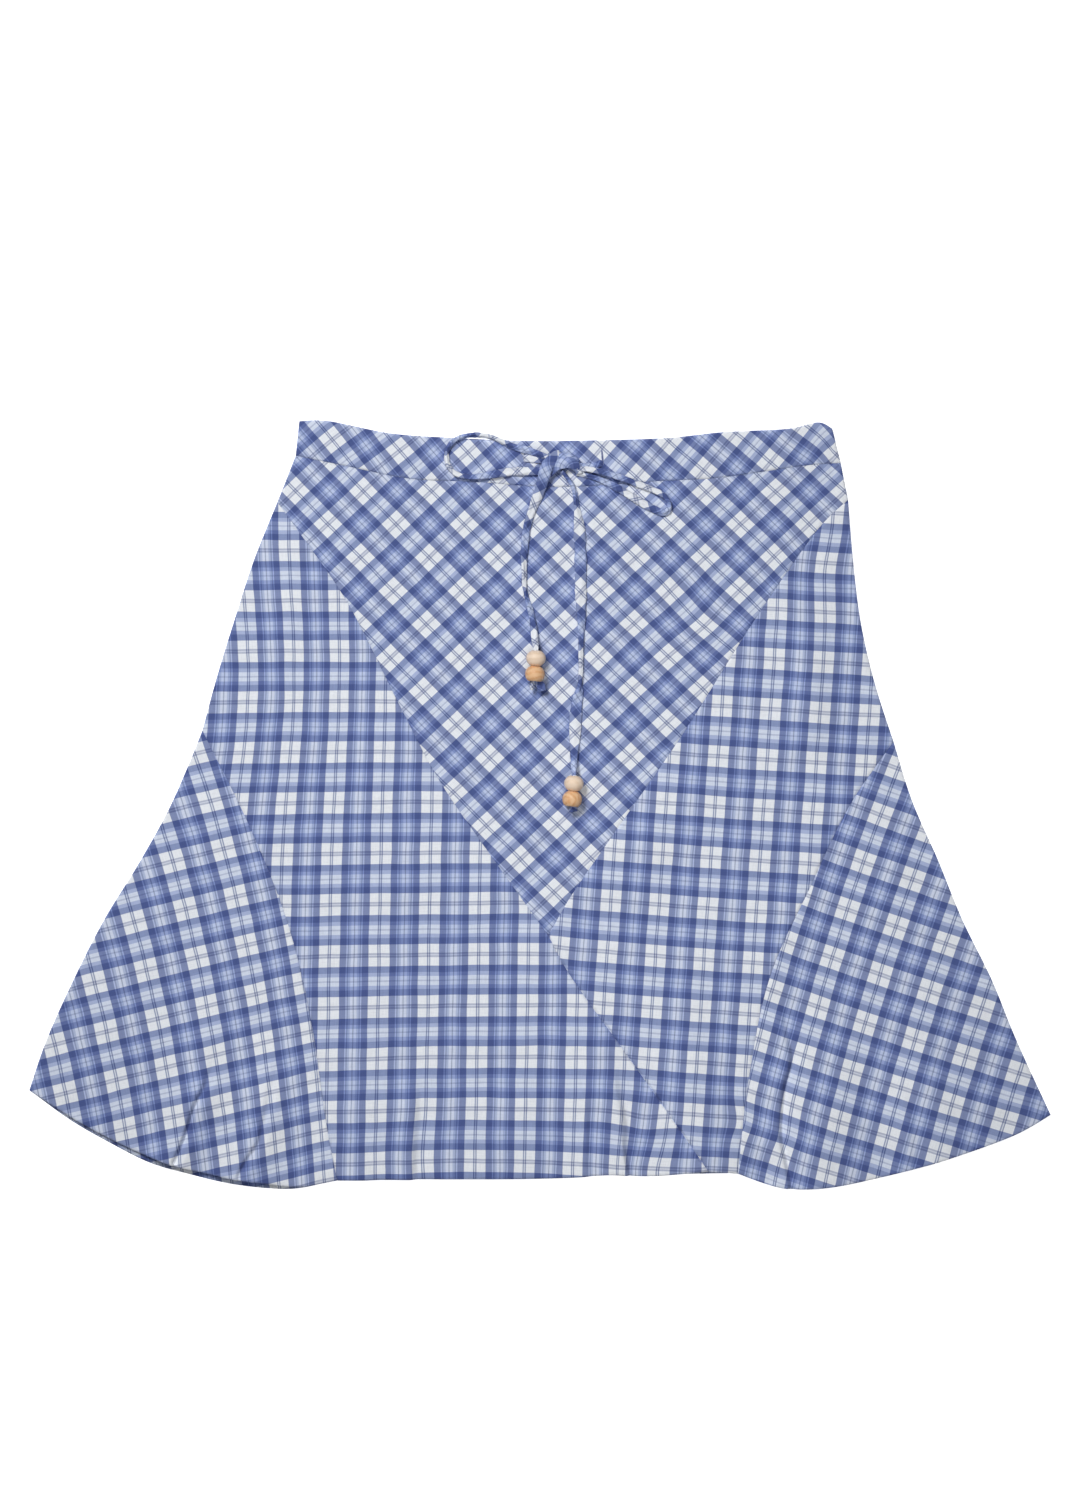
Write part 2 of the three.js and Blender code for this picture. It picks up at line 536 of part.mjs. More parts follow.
for (const string of BEAD_STRINGS) {
  addPiece(`bead_${string.side}_upper`, beadGeometry(string, 0), PALE_WOOD);
  addPiece(`bead_${string.side}_lower`, beadGeometry(string, BEAD.height + SEAM_GAP), TAN_WOOD);
  addPiece(`tie_end_${string.side}`, tieEndGeometry(string), TIE_CLOTH);
}

// The origin is the middle of the underside of the whole skirt.
const box = new THREE.Box3().setFromObject(skirt);
const middle = box.getCenter(new THREE.Vector3());
skirt.position.set(-middle.x, -middle.y, -box.min.z);

export default skirt;
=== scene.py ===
"""A blue and white plaid skirt laid flat, with a drawstring bow and wooden beads.

Cloth lengths are in millimetres in the skirt's own drawing: x is across from its middle line, y is up
towards the waist and z is up off the table. Meshes are written in metres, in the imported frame.
"""
import math
import random

import bpy
import numpy as np
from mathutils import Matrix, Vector


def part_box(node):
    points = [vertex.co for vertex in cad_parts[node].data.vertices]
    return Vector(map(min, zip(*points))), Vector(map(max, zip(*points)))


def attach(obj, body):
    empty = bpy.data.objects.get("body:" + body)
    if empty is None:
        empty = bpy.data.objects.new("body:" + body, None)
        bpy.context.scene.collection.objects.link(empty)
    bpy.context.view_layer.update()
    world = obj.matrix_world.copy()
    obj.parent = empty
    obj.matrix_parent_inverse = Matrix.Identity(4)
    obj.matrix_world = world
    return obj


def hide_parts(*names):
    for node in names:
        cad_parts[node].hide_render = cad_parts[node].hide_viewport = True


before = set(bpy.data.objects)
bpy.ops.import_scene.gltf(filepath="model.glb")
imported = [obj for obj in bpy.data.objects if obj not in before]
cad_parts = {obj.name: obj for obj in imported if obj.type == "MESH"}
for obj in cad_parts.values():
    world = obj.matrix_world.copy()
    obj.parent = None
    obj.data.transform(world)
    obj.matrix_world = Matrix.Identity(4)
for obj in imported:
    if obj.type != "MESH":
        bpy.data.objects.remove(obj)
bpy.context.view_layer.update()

MM = 0.001
DOWN = 7     # mesh rows for each step of the seams' own division
ACROSS = 14  # mesh columns for each of the widths' own
FLARE_DETAIL = 1.3     # the godets have finer meshes still, for their creases

# ------------------------------------------------------------------ sizes of the skirt

CLOTH = 0.7            # shell of the front and back cloth
BACK_WALL = 1.2        # room that the flat back takes, with its seam allowances
FRONT_WALL = 1.2
BAND_WALL = 1.8        # the waistband is folded double
BAND_CLOTH = 1.5
SEAM_GAP = 0.3
LOFT = 2.0             # how far the front stands off the back, away from the sides
LOFT_REACH = 60.0
REPEAT = 40.5          # one repeat of the plaid
BAND_DIP = 1.1         # how far the waistband rolls down to its seam
TIE_WIDTH = 7.6
TIE_THICK = 2.0
TIE_PLUMP = 3.1        # the bias tube is springy, and rounder than where it is pressed flat
BEAD_WIDTH = 16.0
BEAD_HEIGHT = 12.3
BEAD_ROUNDNESS = 6.9
BEAD_BORE = 4.6

STEPS = {"band": 3, "waist": 20, "side_top": 2, "yoke": 18, "slant": 10, "side": 10, "godet": 18}
COLUMNS = {"left": 14, "right": 12, "godet": 10}

# ------------------------------------------------------------------ outline and seams, as (x, y)

WAIST_EDGE = [
    (-196, 311), (-172, 311), (-122, 301), (-75, 297.5), (-20, 295), (30, 295), (100, 297),
    (150, 302), (200, 304.5), (226, 310), (238, 305),
]
WAIST_SEAM = [
    (-199, 283), (-161, 275), (-106, 264), (-55, 261.5), (0, 257.5), (40, 258), (95, 262),
    (138, 264), (177, 269), (218, 275), (245, 277),
]
YOKE_LEFT_CORNER = (-214, 245)
YOKE_RIGHT_CORNER = (251, 247)
YOKE_POINT = (7, -108)
YOKE_LEFT_SEAM = [
    YOKE_LEFT_CORNER, (-195, 219), (-156, 162), (-116, 83), (-81, 17), (-34, -51), YOKE_POINT,
]
YOKE_RIGHT_SEAM = [
    YOKE_RIGHT_CORNER, (224, 220), (174, 148), (118, 59), (74, -5), (27, -73), YOKE_POINT,
]
SLANT_HEM = (137, -299.5)
SLANT_SEAM = [YOKE_POINT, (25, -141), (70, -204), (104, -252), SLANT_HEM]
LEFT_GODET_TOP = (-275, 59)
LEFT_GODET_HEM = (-165, -307)
LEFT_GODET_SEAM = [
    LEFT_GODET_TOP, (-235, -22), (-205, -99), (-187, -174), (-174, -260), LEFT_GODET_HEM,
]
RIGHT_GODET_TOP = (288, 50)
RIGHT_GODET_HEM = (161, -301.5)
RIGHT_GODET_SEAM = [
    RIGHT_GODET_TOP, (252, -2), (221, -66), (187, -142), (170, -224), RIGHT_GODET_HEM,
]
LEFT_CORNER = (-416, -234)
RIGHT_CORNER = (416, -254)
LEFT_SIDE_TOP = [WAIST_SEAM[0], YOKE_LEFT_CORNER]
RIGHT_SIDE_TOP = [WAIST_SEAM[-1], YOKE_RIGHT_CORNER]
LEFT_SIDE = [YOKE_LEFT_CORNER, (-233, 198), (-249, 149), (-264, 100), LEFT_GODET_TOP]
RIGHT_SIDE = [YOKE_RIGHT_CORNER, (255, 198), (261, 149), (272, 100), RIGHT_GODET_TOP]
LEFT_FLARE = [
    LEFT_GODET_TOP, (-299, 2), (-325, -46), (-355, -95), (-380, -144), (-402, -193), LEFT_CORNER,
]
RIGHT_FLARE = [
    RIGHT_GODET_TOP, (303, 2), (324, -46), (344, -95), (368, -144), (388, -193), RIGHT_CORNER,
]
LEFT_GODET_HEMLINE = [
    LEFT_CORNER, (-375, -260), (-334, -281), (-300, -294), (-262, -303.5), (-225, -309.5),
    (-196, -312.5), LEFT_GODET_HEM,
]
LEFT_PANEL_HEMLINE = [
    LEFT_GODET_HEM, (-114, -306.5), (8, -305.5), (57, -302.5), (90, -304), SLANT_HEM,
]
RIGHT_PANEL_HEMLINE = [SLANT_HEM, RIGHT_GODET_HEM]
RIGHT_GODET_HEMLINE = [
    RIGHT_GODET_HEM, (187, -311), (212, -314), (253, -310), (318, -294), (383, -272), RIGHT_CORNER,
]
BACK_LEFT_HEMLINE = [
    LEFT_CORNER, (-383, -258), (-350, -277), (-318, -293), (-285, -302.5), (-253, -310),
    (-220, -314), (-196, -313.8), LEFT_GODET_HEM,
]
BACK_MIDDLE_HEMLINE = [LEFT_GODET_HEM, (8, -304), RIGHT_GODET_HEM]
BACK_RIGHT_HEMLINE = [RIGHT_GODET_HEM, (212, -311), (285, -301), (350, -283), RIGHT_CORNER]

# Soft folds, from the faint end to the strong one: x1, y1, x2, y2, rise, half width.
FOLDS = [
    (-268, -150, -284, -240, 4, 20), (-284, -240, -302, -295, 4, 18),
    (-216, -190, -242, -308, 5, 22), (-150, -180, -150, -306, 3, 24),
    (-112, -170, -104, -306, -2, 22), (-40, -220, -30, -306, 2, 30),
    (38, -160, 42, -304, 4, 18), (60, -200, 76, -303, -2, 14),
    (100, -150, 137, -300, 5, 22), (194, -150, 200, -240, -2, 20),
    (200, -240, 190, -312, -2, 16), (230, -190, 228, -312, 5, 26),
    (300, -190, 322, -293, 4, 26), (222, 175, 216, 60, 3, 18),
    (120, 20, 60, -60, 2, 26), (-214, 90, -222, 215, 3, 18), (-150, 60, -120, -60, 2, 30),
]

# Creases, each along its line from the faint end: rise is the height, or the depth where negative, and
# left and right are how far it spreads on its two sides, so the smaller one is the steep side.
LONG_CREASE = [
    (-266, -206), (-272.6, -228.6), (-278.6, -240.7), (-283, -251.2), (-290, -273.8), (-298, -292),
]
SHORT_CREASE = [
    (-214, -205), (-221.4, -240.7), (-227.4, -266.8), (-230, -277), (-240.4, -292.6), (-246, -304),
]
RIGHT_CREASE = [
    (193, -160), (198.4, -191.5), (202.4, -205.4), (200, -219.2), (196.4, -231), (194, -253.6),
    (193.4, -271), (198, -295), (201, -311),
]
RIGHT_HOLLOW = [
    (196, -165), (201.4, -191.5), (205.4, -205.4), (203, -219.2), (199.4, -231), (197, -253.6),
    (196.4, -271), (201, -295), (204, -311),
]
RIGHT_SWELL = [
    (200, -172), (205, -191.5), (209, -205.4), (207, -219.2), (203.4, -231), (201.2, -253.6),
    (200.6, -271), (205, -295), (208, -311),
]
MIDDLE_CREASE = [(-103, -215), (-103.5, -250), (-104.8, -275), (-105.6, -306)]
HEM_CREASE = [(61, -212), (62, -235.7), (65, -247), (66.8, -262), (67.4, -282.5), (70.2, -303)]
CREASES = [
    {"rise": 4.2, "left": 15, "right": 18, "line": LONG_CREASE},
    {"rise": -5.4, "left": 1.8, "right": 3.8, "line": [(x + 1, y) for x, y in LONG_CREASE]},
    {"rise": 3.2, "left": 14, "right": 14, "line": SHORT_CREASE},
    {"rise": -3.4, "left": 1.9, "right": 4.4, "line": [(x + 1, y) for x, y in SHORT_CREASE]},
    {"rise": 5.4, "left": 15, "right": 3.8, "line": MIDDLE_CREASE},
    {"rise": 1.6, "left": 12, "right": 3, "line": [(-160, -235), (-151, -262), (-140, -306)]},
    {"rise": -2.4, "left": 2.4, "right": 6, "line": [(40, -235), (41, -262), (41, -303)]},
    {"rise": 6.0, "left": 13, "right": 1.9, "line": HEM_CREASE},
    {"rise": -1.5, "left": 6, "right": 13, "line": [(74, -240), (81, -264), (86, -303)]},
    {"rise": 4.6, "left": 16, "right": 3.6, "line": RIGHT_CREASE},
    {"rise": -1.6, "left": 3.0, "right": 6.0, "line": RIGHT_HOLLOW},
    {"rise": 2.0, "left": 4.0, "right": 17, "line": RIGHT_SWELL},
    {"rise": -1.6, "left": 9, "right": 5, "line": [(178, -225), (181, -262), (186, -306)]},
    {"rise": 1.4, "left": 12, "right": 3.4, "line": [(292, -222), (297, -250), (301, -284)]},
]

# Each seam: its line, how deep it sinks, and how much the cloth puckers beside it.
SEAMS = [
    (WAIST_SEAM, 0.14, 0.34), (YOKE_LEFT_SEAM, 0.7, 0.16), (YOKE_RIGHT_SEAM, 0.7, 0.16),
    (SLANT_SEAM, 1.7, 0.4), (LEFT_GODET_SEAM, 0.9, 0.26), (RIGHT_GODET_SEAM, 0.8, 0.24),
]
GROOVE = 1.15          # how far a seam's groove spreads on each side
PUCKER_STEPS = (6, 19)  # shortest and longest pucker along a seam
PUCKER_REACH = 6       # how far the puckers reach into the cloth

# ------------------------------------------------------------------ how the plaid lies on each piece
# Each row has the place of one white crossing, and then for each thread its repeat in millimetres, the
# way it counts in degrees from the right, and how the cloth's drape bends it for each 100 mm: gather is
# per cent closer as it counts on, fan is degrees turned as it counts on, bow is degrees along the thread.

GRAIN = {
    "panel_front_left": {
        "crossing": (-131, -124), "warp": (40.5, -1, 0, 0, 0), "weft": (41.8, -89, -1, 0.5, -0.5),
    },
    "panel_front_right": {
        "crossing": (94, -124.3), "warp": (39.5, -4, -1.5, 0, 0), "weft": (41.8, -94.5, -1, 0, 1),
    },
    "yoke_front": {
        "crossing": (16.2, 37.2), "warp": (40.5, 45.5, 1.5, 0.5, -0.5), "weft": (38.5, -47, -0.5, 0, 0),
    },
    "godet_front_left": {
        "crossing": (-279, -125.6), "warp": (42, 12.5, 5.5, -2.5, 4.5), "weft": (40.3, -76, 0, 0, -0.5),
    },
    "godet_front_right": {
        "crossing": (276.7, -139.5), "warp": (42, -17.5, -8.5, -1.5, -3), "weft": (41, -109, -1, 0.5, 1),
    },
    "panel_back": {"crossing": (0, -100), "warp": (40.5, 0, 0, 0, 0), "weft": (40.5, -90, 0, 0, 0)},
}

# The bias waistband's grain, at its left and right ends: each crossing is given by its place across and
# its height off the band's middle line, and counts are the stripes between the two crossings.
BAND_GRAIN = [
    {"crossing": (-114, 4), "counts": (0, 0), "warp": (41.5, 43, 0, 0, 0), "weft": (36, -47, 0, 0, 0)},
    {"crossing": (133, -11.5), "counts": (4, 5), "warp": (38.5, 47, 0, 0, 0), "weft": (38.5, -43, 0, 0, 0)},
]
BAND_GRAIN_MEETS = (-40, 80)

# Places where the cloth is drawn aside, with the plaid on it: middle, reach, and how far right and up.
PULLS = [
    (228, 185, 30, -4.0, 0.0), (130, 152, 24, 0.0, -3.4), (163, -259, 14, 4.0, -0.8),
    (88, -302, 21, -6.0, 0.0), (55, -250, 36, 0.0, 2.6), (84, -262, 16, 0.0, -3.0),
    (-99, -285, 24, -2.4, 0.0), (196, -270, 14, 2.4, 0.0),
]
# The same for one piece alone, where the seam holds its neighbour back.
PIECE_PULLS = {
    "panel_front_left": [
        (-260, 95, 95, 12.0, 0.0), (125, -300, 70, -10.0, 0.0), (115, -300, 100, 0.0, -11.0),
    ],
}

# ------------------------------------------------------------------ drawstring routes
# Each row: x, y, height above the cloth, width, and roll about its own line in degrees.

LYING = TIE_THICK / 2 + SEAM_GAP
LOOSE = LYING + 0.5    # the loops of the bow stand off the cloth a little
LOOP_LEFT = [
    (6, 281, 4, 5, 10), (-8, 286, 3.4, 5.4, 20), (-19, 289, LOOSE, 5.4, 25), (-28, 292.6, LOOSE, 5, 30),
    (-35, 295.8, LOOSE, 4.6, 40), (-43, 298.2, LOOSE, 4.6, 45), (-53, 299.4, LOOSE, 4.6, 50),
    (-63, 298, LOOSE, 4.4, 55), (-70, 294.6, LOOSE, 4, 60), (-75, 288.6, LOOSE, 3.8, 65),
    (-76, 281.5, LOOSE, 3.8, 65), (-74.6, 274.7, LOOSE, 4.2, 55), (-70, 269, LOOSE, 4.8, 40),
    (-62.8, 266, LOOSE, 5, 30), (-54, 265.2, LOOSE, 5, 25), (-44, 266.4, LOOSE, 5.6, 15),
    (-33, 268.1, LOOSE, 6.4, 8), (-23, 269.6, LOOSE, 6.8, 0), (-13, 269.8, 2.4, 6.8, 0), (6, 270, 4, 6.6, 0),
]
LOOP_RIGHT = [
    (30, 272, 4.8, 4.6, 10), (38, 271.4, 4.8, 4.6, 15), (48, 269.8, 4.8, 4.8, 20), (58, 267, 3.8, 5.2, 25),
    (69, 263.4, 2.2, 5.6, 25), (80, 259.4, LOOSE, 5.6, 20), (90, 255.6, LOOSE, 5.4, 25),
    (99, 251.2, LOOSE, 5.4, 35),
    (104.4, 245.6, LOOSE, 4.8, 50), (105, 239.4, LOOSE, 4.6, 45), (100.6, 236.2, LOOSE, 5.6, 25),
    (91.5, 239.6, LOOSE, 6.2, 5), (81, 245.2, LOOSE, 6.2, 0), (71, 251.4, LOOSE, 5.8, 0),
    (60, 258, LOOSE, 5.6, 5), (48, 263.4, LYING, 4.8, 15), (39, 266.4, LYING, 4.6, 15),
    (30, 268.4, 1.6, 4.6, 10),
]
TAIL_LEFT = [
    (17, 283.8, -1.6, 8, 0), (14.4, 282.2, 3.2, 8.8, 0), (11, 279.4, 6.2, 9.4, 0), (6.5, 275, 7.2, 9.8, 0),
    (4.5, 270, 7, 9.8, 0), (2.2, 261.6, 4.6, 9.6, 5), (-0.6, 253, 2.2, 9, 10),
    (-4.2, 244, LYING, 8.2, 15), (-7.4, 235, LYING, 7, 20),
    (-10.2, 225.8, LYING, 6.8, 25), (-11.9, 214.3, LYING, 6.6, 20), (-12.7, 202, LYING, 6.1, 30),
    (-13, 190, LYING, 5.4, 45), (-12.6, 178, LYING, 4.6, 55), (-11, 167.6, LYING, 4.2, 50),
    (-8.3, 158.6, LYING, 4.8, 35), (-6, 149, LYING + 0.4, 5.4, 20), (-4.8, 138.8, 3.6, 5.8, 10),
    (-4, 131.4, 6.4, 5.4, 0), (-3.3, 126.2, 8.3, 4.4, 0), (-3.3, 121, 8.3, 3, 0),
]
TAIL_RIGHT = [
    (17.8, 269.8, 3.8, 3.6, 40), (21, 266, 3.4, 3.6, 40), (27, 257, 2.2, 3.7, 45),
    (29.4, 244.6, LYING, 4.8, 35), (30.8, 234.7, LYING, 6.8, 20), (32, 224, LYING, 9, 8),
    (32.7, 210.3, LYING, 9.6, 4), (33, 194, LYING, 9.8, 0),
    (33, 177.7, LYING, 9.6, 4), (33.4, 161.4, LYING, 8.4, 10), (33.7, 147.5, LYING, 7.2, 20),
    (33.5, 132.8, LYING, 5.6, 40), (33.3, 120.6, LYING, 4.4, 60), (33.3, 108.4, LYING, 4.2, 65),
    (32.6, 96.2, LYING, 5.4, 45), (30.8, 85.6, LYING, 8.4, 10), (29.2, 74.2, LYING, 9.8, 0),
    (28.7, 61.1, LYING, 9.6, 0), (28.2, 49.7, LYING + 0.4, 8.6, 0), (27.7, 39.1, 2.6, 6.4, 0),
    (27.5, 31, 5.8, 4.8, 0), (27.5, 24.6, 8.3, 4, 0), (27.5, 19.4, 8.3, 3, 0),
]
ENTRY_LEFT = [
    (12, 277, 3, 6.8, 0), (3, 279, 1.8, 7, 0), (-6, 280.4, LYING, 7, 0), (-11.4, 280.6, 0.5, 6.6, 0),
    (-12.9, 280.6, -0.9, 6.4, 0), (-14.6, 280.6, -3.2, 6, 0),
]
ENTRY_RIGHT = [
    (28, 275, 4.2, 5, 0), (35, 273.6, 3.2, 5.4, 10), (43, 274, LYING, 5.6, 5), (48.4, 276, 0.5, 5.6, 0),
    (50.4, 276.8, -0.9, 5.4, 0), (52.2, 277.4, -3.2, 5, 0),
]
# The turn round the knot, and the strand under it.
KNOT_WRAPS = [
    [(7, 267, 3.2, 6, 0), (11.5, 272, 5.2, 7.4, 0), (17, 275.6, 7, 8.8, 0), (24.5, 276.2, 7.2, 9, 0),
     (30, 273, 5.6, 8, 0), (33, 268.4, 3, 6, 0)],
    [(9, 277, 2.6, 7, 0), (16, 279.6, 4.4, 8, 0), (24, 279.4, 4.4, 8, 0), (31, 276, 3, 7, 0)],
]
# Slits in the waistband that the drawstring goes into, bound with thread: middle, length and lean.
SLITS = [
    {"at": (-12.6, 281), "length": 11, "lean": -3},
    {"at": (50.8, 281.5), "length": 13.5, "lean": 5},
]
BEAD_STRINGS = {
    "left": {"middle": (-3.3, 117.7), "down": (-0.06, -1)},
    "right": {"middle": (27.5, 16.1), "down": (-0.11, -1)},
}

# The drawing's place in the frame, from a bead's own box.
bead_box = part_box("bead_left_upper")
bead_middle = (np.array(bead_box[0][:2]) + np.array(bead_box[1][:2])) / 2 / MM
SHIFT = bead_middle - np.array(BEAD_STRINGS["left"]["middle"])

# ------------------------------------------------------------------ curves


def catmull_rom(points, per_span=24):
    """A smooth line through points, as many straight steps."""
    rows = np.array(points, float)
    padded = np.vstack([rows[:1], rows, rows[-1:]])
    t = np.linspace(0, 1, per_span, endpoint=False)[:, None]
    line = []
    for p0, p1, p2, p3 in zip(padded, padded[1:], padded[2:], padded[3:]):
        slope1, slope2 = (p2 - p0) / 2, (p3 - p1) / 2
        line.append((2 * p1 - 2 * p2 + slope1 + slope2) * t**3
                    + (-3 * p1 + 3 * p2 - 2 * slope1 - slope2) * t**2 + slope1 * t + p1)
    return np.vstack([*line, rows[-1:]])


def spaced(points, steps, ease=0.0):
    """steps + 1 points along the smooth line; ease draws them together towards its end."""
    line = catmull_rom(points)
    length = np.concatenate([[0], np.cumsum(np.linalg.norm(np.diff(line[:, :2], axis=0), axis=1))])
    s = np.linspace(0, 1, steps + 1)
    at = (s * (1 + ease) - s**2 * ease) * length[-1]
    return np.stack([np.interp(at, length, line[:, axis]) for axis in range(line.shape[1])], axis=1)


def join(*lines):
    return np.vstack([lines[0], *(line[1:] for line in lines[1:])])


def smoothstep(value, low, high):
    t = np.clip((value - low) / (high - low), 0, 1)
    return t * t * (3 - 2 * t)



def whole_side(waist_end, side_top, side, flare):
    return join(spaced([waist_end, *side_top], 24), spaced(side, 48), spaced(flare, 72))


LEFT_EDGE = whole_side(WAIST_EDGE[0], LEFT_SIDE_TOP, LEFT_SIDE, LEFT_FLARE)
RIGHT_EDGE = whole_side(WAIST_EDGE[-1], RIGHT_SIDE_TOP, RIGHT_SIDE, RIGHT_FLARE)
WAIST_LINE = spaced(WAIST_SEAM, 160)
TOP_LINE = spaced(WAIST_EDGE, 160)


def beside(line, x, y):
    """Distance of each point from a line of short steps, its share of the way along, and its side."""
    start, step = line[:-1], np.diff(line[:, :2], axis=0)
    size = np.linalg.norm(step, axis=1)
    before = np.concatenate([[0], np.cumsum(size)])
    best = np.full(x.shape, 1e9)
    place = np.zeros(x.shape)
    side = np.zeros(x.shape)
    for (ax, ay), (dx, dy), length, passed in zip(start[:, :2], step, size, before):
        t = np.clip(((x - ax) * dx + (y - ay) * dy) / length**2, 0, 1)
        off_x, off_y = x - ax - t * dx, y - ay - t * dy
        away = np.hypot(off_x, off_y)
        closer = away < best
        best = np.where(closer, away, best)
        place = np.where(closer, passed + t * length, place)
        side = np.where(closer, np.sign(dx * off_y - dy * off_x), side)
    return best, place / before[-1], side


def nearest(line, x, y):
    """Distance of each point from a line, and how many millimetres along the line it is."""
    away, share, _ = beside(line, x, y)
    return away, share * np.linalg.norm(np.diff(line[:, :2], axis=0), axis=1).sum()


# ------------------------------------------------------------------ heights of the cloth


def fold_height(x, y):
    height = np.zeros(x.shape)
    for x1, y1, x2, y2, rise, half in FOLDS:
        along_x, along_y = x2 - x1, y2 - y1
        t = np.clip(((x - x1) * along_x + (y - y1) * along_y) / (along_x**2 + along_y**2), 0, 1)
        away = np.hypot(x - x1 - t * along_x, y - y1 - t * along_y)
        height += rise * smoothstep(t, -0.2, 0.7) * np.exp(-((away / half) ** 2))
    return height


def crease_height(x, y):
    """The creases: where two meet, the stronger one wins."""
    ridges = np.zeros(x.shape)
    troughs = np.zeros(x.shape)
    for crease in CREASES:
        line = spaced(crease["line"], 16)
        away, along, side = beside(line, x, y)
        spread = np.where(side > 0, crease["right"], crease["left"])
        height = crease["rise"] * smoothstep(along, -0.1, 0.45) * np.exp(-((away / spread) ** 2))
        ridges = np.maximum(ridges, height)
        troughs = np.minimum(troughs, height)
    return ridges + troughs


def loft(x, y):
    inward = np.minimum(x - np.interp(-y, -LEFT_EDGE[:, 1], LEFT_EDGE[:, 0]),
                        np.interp(-y, -RIGHT_EDGE[:, 1], RIGHT_EDGE[:, 0]) - x)
    return np.maximum(0, smoothstep(inward, 0, LOFT_REACH) * (LOFT + fold_height(x, y)))


def waves(x, y, seed, shortest, longest, count=14):
    """A sum of straight waves in every direction, between -1 and 1 for the most part."""
    draw = random.Random(seed)
    height = np.zeros(x.shape)
    for _ in range(count):
        length = draw.uniform(shortest, longest)
        angle = draw.uniform(0, math.tau)
        phase = draw.uniform(0, math.tau)
        height += np.sin((x * math.cos(angle) + y * math.sin(angle)) * math.tau / length + phase)
    return height / math.sqrt(count)


def seam_height(x, y):
    """The seams' grooves, and the puckers that die away beside them."""
    height = np.zeros(x.shape)
    for number, (points, groove, pucker) in enumerate(SEAMS):
        away, along = nearest(spaced(points, 90), x, y)
        draw = random.Random(40 + number)
        ripple = sum(
            np.sin(along * math.tau / draw.uniform(*PUCKER_STEPS) + draw.uniform(0, math.tau))
            for _ in range(4)
        )
        # The stitches pull a seam in unevenly, over a few and over many of them.
        uneven = 0.25 * np.sin(along / 5.3 + number) + 0.3 * np.sin(along / 2.3 + 2 * number)
        height += pucker * ripple / 2 * np.exp(-away / PUCKER_REACH)
        height -= groove * (0.75 + uneven) * np.exp(-((away / GROOVE) ** 2))
    return height


def wrinkles(x, y):
    """Broad soft wrinkles, and small ones on them."""
    return 0.26 * waves(x, y, 3, 22, 70) + 0.07 * waves(x, y, 4, 6, 14)


def panel_top(x, y):
    """Top of the front cloth below the waistband."""
    base = BACK_WALL + SEAM_GAP + FRONT_WALL + loft(x, y)
    return np.maximum(base + crease_height(x, y) + seam_height(x, y) + wrinkles(x, y),
                      BACK_WALL + SEAM_GAP + CLOTH / 2)


def band_top(x, y):
    """Top of the waistband: it rolls down to its seam, with small puckers along both of its edges."""
    away, along = nearest(WAIST_LINE, x, y)
    edge, _ = nearest(TOP_LINE, x, y)
    ripple = np.sin(along / 3.1) + np.sin(along / 1.9 + 2) + np.sin(along / 4.7 + 1)
    gathers = np.sin(along / 2.6 + 1.5 * np.sin(along / 11)) * np.exp(-(((x - 15) / 70) ** 2))
    inside = 1 - np.exp(-away / 3)
    puckers = inside * (0.16 * ripple * np.exp(-away / 5) + 0.14 * gathers * np.exp(-edge / 5))
    middle = 2 * BAND_WALL + SEAM_GAP - 0.1 + loft(x, y)
    return middle - BAND_DIP * np.exp(-away / 4.5) + seam_height(x, y) + puckers + wrinkles(x, y)


def rounded(away, radius, drop):
    """How much an edge falls at each distance in from it."""
    t = 1 - np.clip(away / radius, 0, 1)
    return drop * (1 - np.sqrt(np.maximum(0, 1 - t * t)))


def solid_top(x, y):
    """Top of the cloth below a bead, as in the solids."""
    on_band = y > np.interp(x, WAIST_LINE[:, 0], WAIST_LINE[:, 1]) - TIE_WIDTH
    height = 2 * BAND_WALL + SEAM_GAP if on_band else BACK_WALL + SEAM_GAP + FRONT_WALL
    return height + float(loft(np.array([x]), np.array([y]))[0])


def cloth_under(x, y):
    """Top of whatever cloth the drawstring lies on."""
    seam_y = np.interp(x, WAIST_LINE[:, 0], WAIST_LINE[:, 1])
    share = smoothstep(y, seam_y - 1, seam_y + 1)
    return panel_top(x, y) * (1 - share) + band_top(x, y) * share


# ------------------------------------------------------------------ materials


def linear(code):
    """A hex colour as linear light."""
    parts = [int(code[i:i + 2], 16) / 255 for i in (1, 3, 5)]
    return [v / 12.92 if v <= 0.04045 else ((v + 0.055) / 1.055) ** 2.4 for v in parts] + [1.0]


def new_material(name):
    made = bpy.data.materials.new(name)
    made.use_nodes = True
    made.node_tree.nodes.clear()
    return made


def add(tree, kind, inputs=None, **settings):
    """One node: settings are its properties, and inputs are values or the sockets that feed it."""
    made = tree.nodes.new(kind)
    for name, value in settings.items():
        setattr(made, name, value)
    for name, value in (inputs or {}).items():
        socket = made.inputs[name]
        if isinstance(value, bpy.types.NodeSocket):
            tree.links.new(value, socket)
        else:
            socket.default_value = value
    return made


def fill_ramp(ramp_node, stops):
    ramp = ramp_node.color_ramp
    while len(ramp.elements) > 1:
        ramp.elements.remove(ramp.elements[-1])
    ramp.elements[0].position = stops[0][0]
    ramp.elements[0].color = linear(stops[0][1])
    for place, code in stops[1:]:
        ramp.elements.new(place).color = linear(code)


